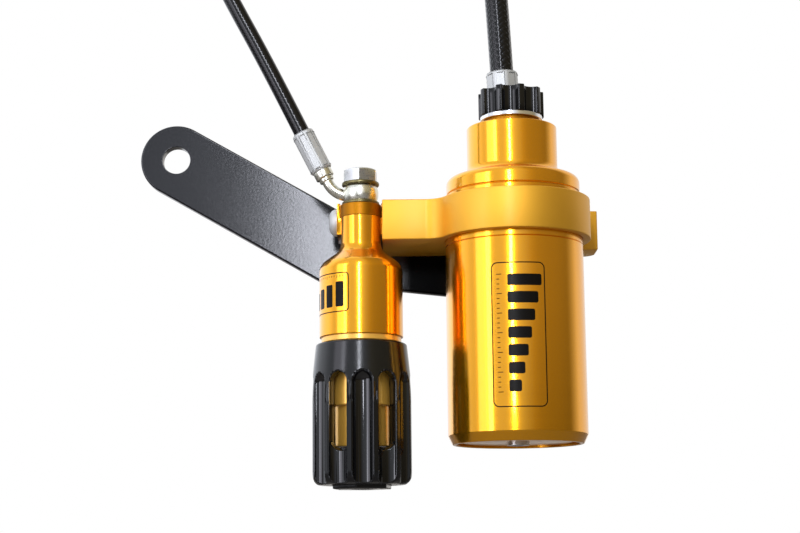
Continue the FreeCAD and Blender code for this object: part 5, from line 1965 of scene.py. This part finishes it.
@dataclass
class Studio:
    """Camera, lamps, floor and background."""

    camera_place: Point3 = (0.08925, -0.6338, -0.1554)
    camera_rise: float = 10.03
    camera_roll: float = -0.56
    camera_lens: float = 72.53
    floor_height: float = -0.30
    floor_size: float = 3.0
    floor_glow: float = 0.42
    floor_paper: Colour = (0.95, 0.95, 0.95)
    floor_bounce: Colour = (0.5, 0.5, 0.5)
    floor_mirrored: Colour = (0.27, 0.25, 0.23)
    horizon_height: float = 0.19
    diffuse_level: float = 0.60
    strip: SoftLight = SoftLight("strip", (-0.326, -0.458, 0.05), (0.12, -0.057, -0.05), (0.085, 0.5), 3.2)
    key: SoftLight = SoftLight("key", (0.035, -0.62, 0.175), (0.1, -0.03, -0.05), (0.058, 0.48), 21.0)
    side: SoftLight = SoftLight("side", (-0.388, -0.382, 0.05), (0.1, -0.03, -0.05), (0.30, 0.5), 1.6,
                                (1.0, 0.96, 1.1))
    room: tuple[RoomStop, ...] = (
        RoomStop(-180, 0.90, 0.90, WHITE), RoomStop(-150, 1.50, 1.30, COOL), RoomStop(-100, 1.60, 1.40, COOL),
        RoomStop(-80, 1.00, 0.90, COOL), RoomStop(-38, 1.00, 0.90, COOL), RoomStop(-22, 1.00, 0.75, COOL),
        RoomStop(4, 0.98, 0.45, COOL), RoomStop(15, 0.78, 0.24, WHITE), RoomStop(25, 0.62, 0.18, WARM),
        RoomStop(35, 0.48, 0.14, WARM), RoomStop(50, 0.42, 0.12, WARM), RoomStop(72, 0.38, 0.11, WARM),
        RoomStop(92, 0.30, 0.10, WARM), RoomStop(104, 0.56, 0.50, WHITE), RoomStop(116, 0.95, 0.90, WHITE),
        RoomStop(180, 0.90, 0.90, WHITE))

    def camera(self) -> None:
        """Sets the camera of the photograph."""
        lens = bpy.data.cameras.new("camera")
        lens.lens = self.camera_lens
        lens.sensor_width = 36.0
        lens.sensor_fit = "HORIZONTAL"
        lens.clip_start = 0.01
        lens.clip_end = 20.0
        camera = placed("camera", lens)
        turn = Matrix.Rotation(math.radians(90.0 + self.camera_rise), 4, "X")
        roll = Matrix.Rotation(math.radians(self.camera_roll), 4, "Z")
        camera.matrix_world = Matrix.Translation(self.camera_place) @ turn @ roll
        bpy.context.scene.camera = camera

    def world(self) -> None:
        """Sets a white background and a soft room that is dimmer at both sides."""
        world = bpy.data.worlds.new("room")
        bpy.context.scene.world = world
        world.use_nodes = True
        world.node_tree.nodes.clear()
        graph = Graph(world.node_tree)
        place = graph.add("ShaderNodeTexCoord")
        axes = graph.add("ShaderNodeSeparateXYZ", {0: place.outputs["Generated"]})
        forward = graph.math("MULTIPLY", axes.outputs["Y"], -1.0)
        angle = graph.math("ARCTAN2", axes.outputs["X"], forward)
        share = graph.math("ADD", graph.math("DIVIDE", angle, 2 * math.pi), 0.5)
        upper = self.ring_of_light(graph, share, [stop.upper for stop in self.room])
        lower = self.ring_of_light(graph, share, [stop.lower for stop in self.room])
        height = graph.spread(axes.outputs["Z"], 0.0, self.horizon_height)
        room = graph.blend(height, lower, upper)
        ray = graph.add("ShaderNodeLightPath")
        mirror = graph.math("ADD", ray.outputs["Is Glossy Ray"], ray.outputs["Is Transmission Ray"],
                            clamp=True)
        level = graph.blend(mirror, (self.diffuse_level,) * 3, room)
        final = graph.blend(ray.outputs["Is Camera Ray"], level, (1.0, 1.0, 1.0))
        light = graph.add("ShaderNodeBackground", {"Color": final, "Strength": 1.0})
        graph.add("ShaderNodeOutputWorld", {"Surface": light.outputs[0]})

    def ring_of_light(self, graph: Graph, share: bpy.types.NodeSocket,
                      brightness: list[float]) -> bpy.types.NodeSocket:
        """Spreads the room's brightness round the compass.

        Args:
            graph: The world's nodes.
            share: Compass direction from 0 to 1, 0.5 straight ahead of the part.
            brightness: Brightness at each of the room's stops.

        Returns:
            The colour in that direction.
        """
        ramp = graph.add("ShaderNodeValToRGB", {0: share})
        stops = ramp.color_ramp.elements
        while len(stops) < len(self.room):
            stops.new(0.5)
        for stop, place, value in zip(stops, self.room, brightness):
            stop.position = place.degrees / 360.0 + 0.5
            stop.color = (*(value * part for part in place.tint), 1.0)
        return ramp.outputs[0]

    def floor(self) -> None:
        """Lays a pale floor under the object, which can be seen through from below."""
        form = bmesh.new()
        bmesh.ops.create_grid(form, x_segments=1, y_segments=1, size=self.floor_size)
        mesh = bpy.data.meshes.new("floor")
        form.to_mesh(mesh)
        form.free()
        mesh.transform(Matrix.Translation((0.0, 0.0, self.floor_height)))
        material = bpy.data.materials.new("floor_paper")
        material.use_nodes = True
        nodes = material.node_tree.nodes
        graph = Graph(material.node_tree)
        ray = graph.add("ShaderNodeLightPath")
        bounce = graph.blend(ray.outputs["Is Glossy Ray"], self.floor_bounce, self.floor_mirrored)
        paper = graph.blend(ray.outputs["Is Camera Ray"], bounce, self.floor_paper)
        glow = graph.math("MULTIPLY", ray.outputs["Is Camera Ray"], self.floor_glow)
        shader = nodes["Principled BSDF"]
        graph.feed(shader, {"Base Color": paper, "Roughness": 0.9, "Emission Color": (1.0, 1.0, 1.0, 1.0),
                            "Emission Strength": glow})
        below = graph.add("ShaderNodeNewGeometry").outputs["Backfacing"]
        clear = graph.add("ShaderNodeBsdfTransparent")
        sheet = graph.add("ShaderNodeMixShader", {0: below, 1: shader.outputs[0], 2: clear.outputs[0]})
        graph.feed(nodes["Material Output"], {"Surface": sheet.outputs[0]})
        mesh.materials.append(material)
        placed("floor", mesh)

    def build(self) -> None:
        """Sets up the studio."""
        scene = bpy.context.scene
        scene.view_settings.view_transform = "Standard"
        self.camera()
        self.world()
        self.floor()
        self.key.build()
        self.side.build()
        self.strip.build()


def main() -> None:
    """Builds the whole scene."""
    shop = Workshop()
    for group in (Hoses, Strap, ClampArm, Reservoir, CompressionAdjuster, PreloadAdjuster, PreloadKnob,
                  BanjoJoint, Labels):
        log.info("building %s", group.__name__)
        group(shop).build()
    Studio().build()


if __name__ == "__main__":
    main()
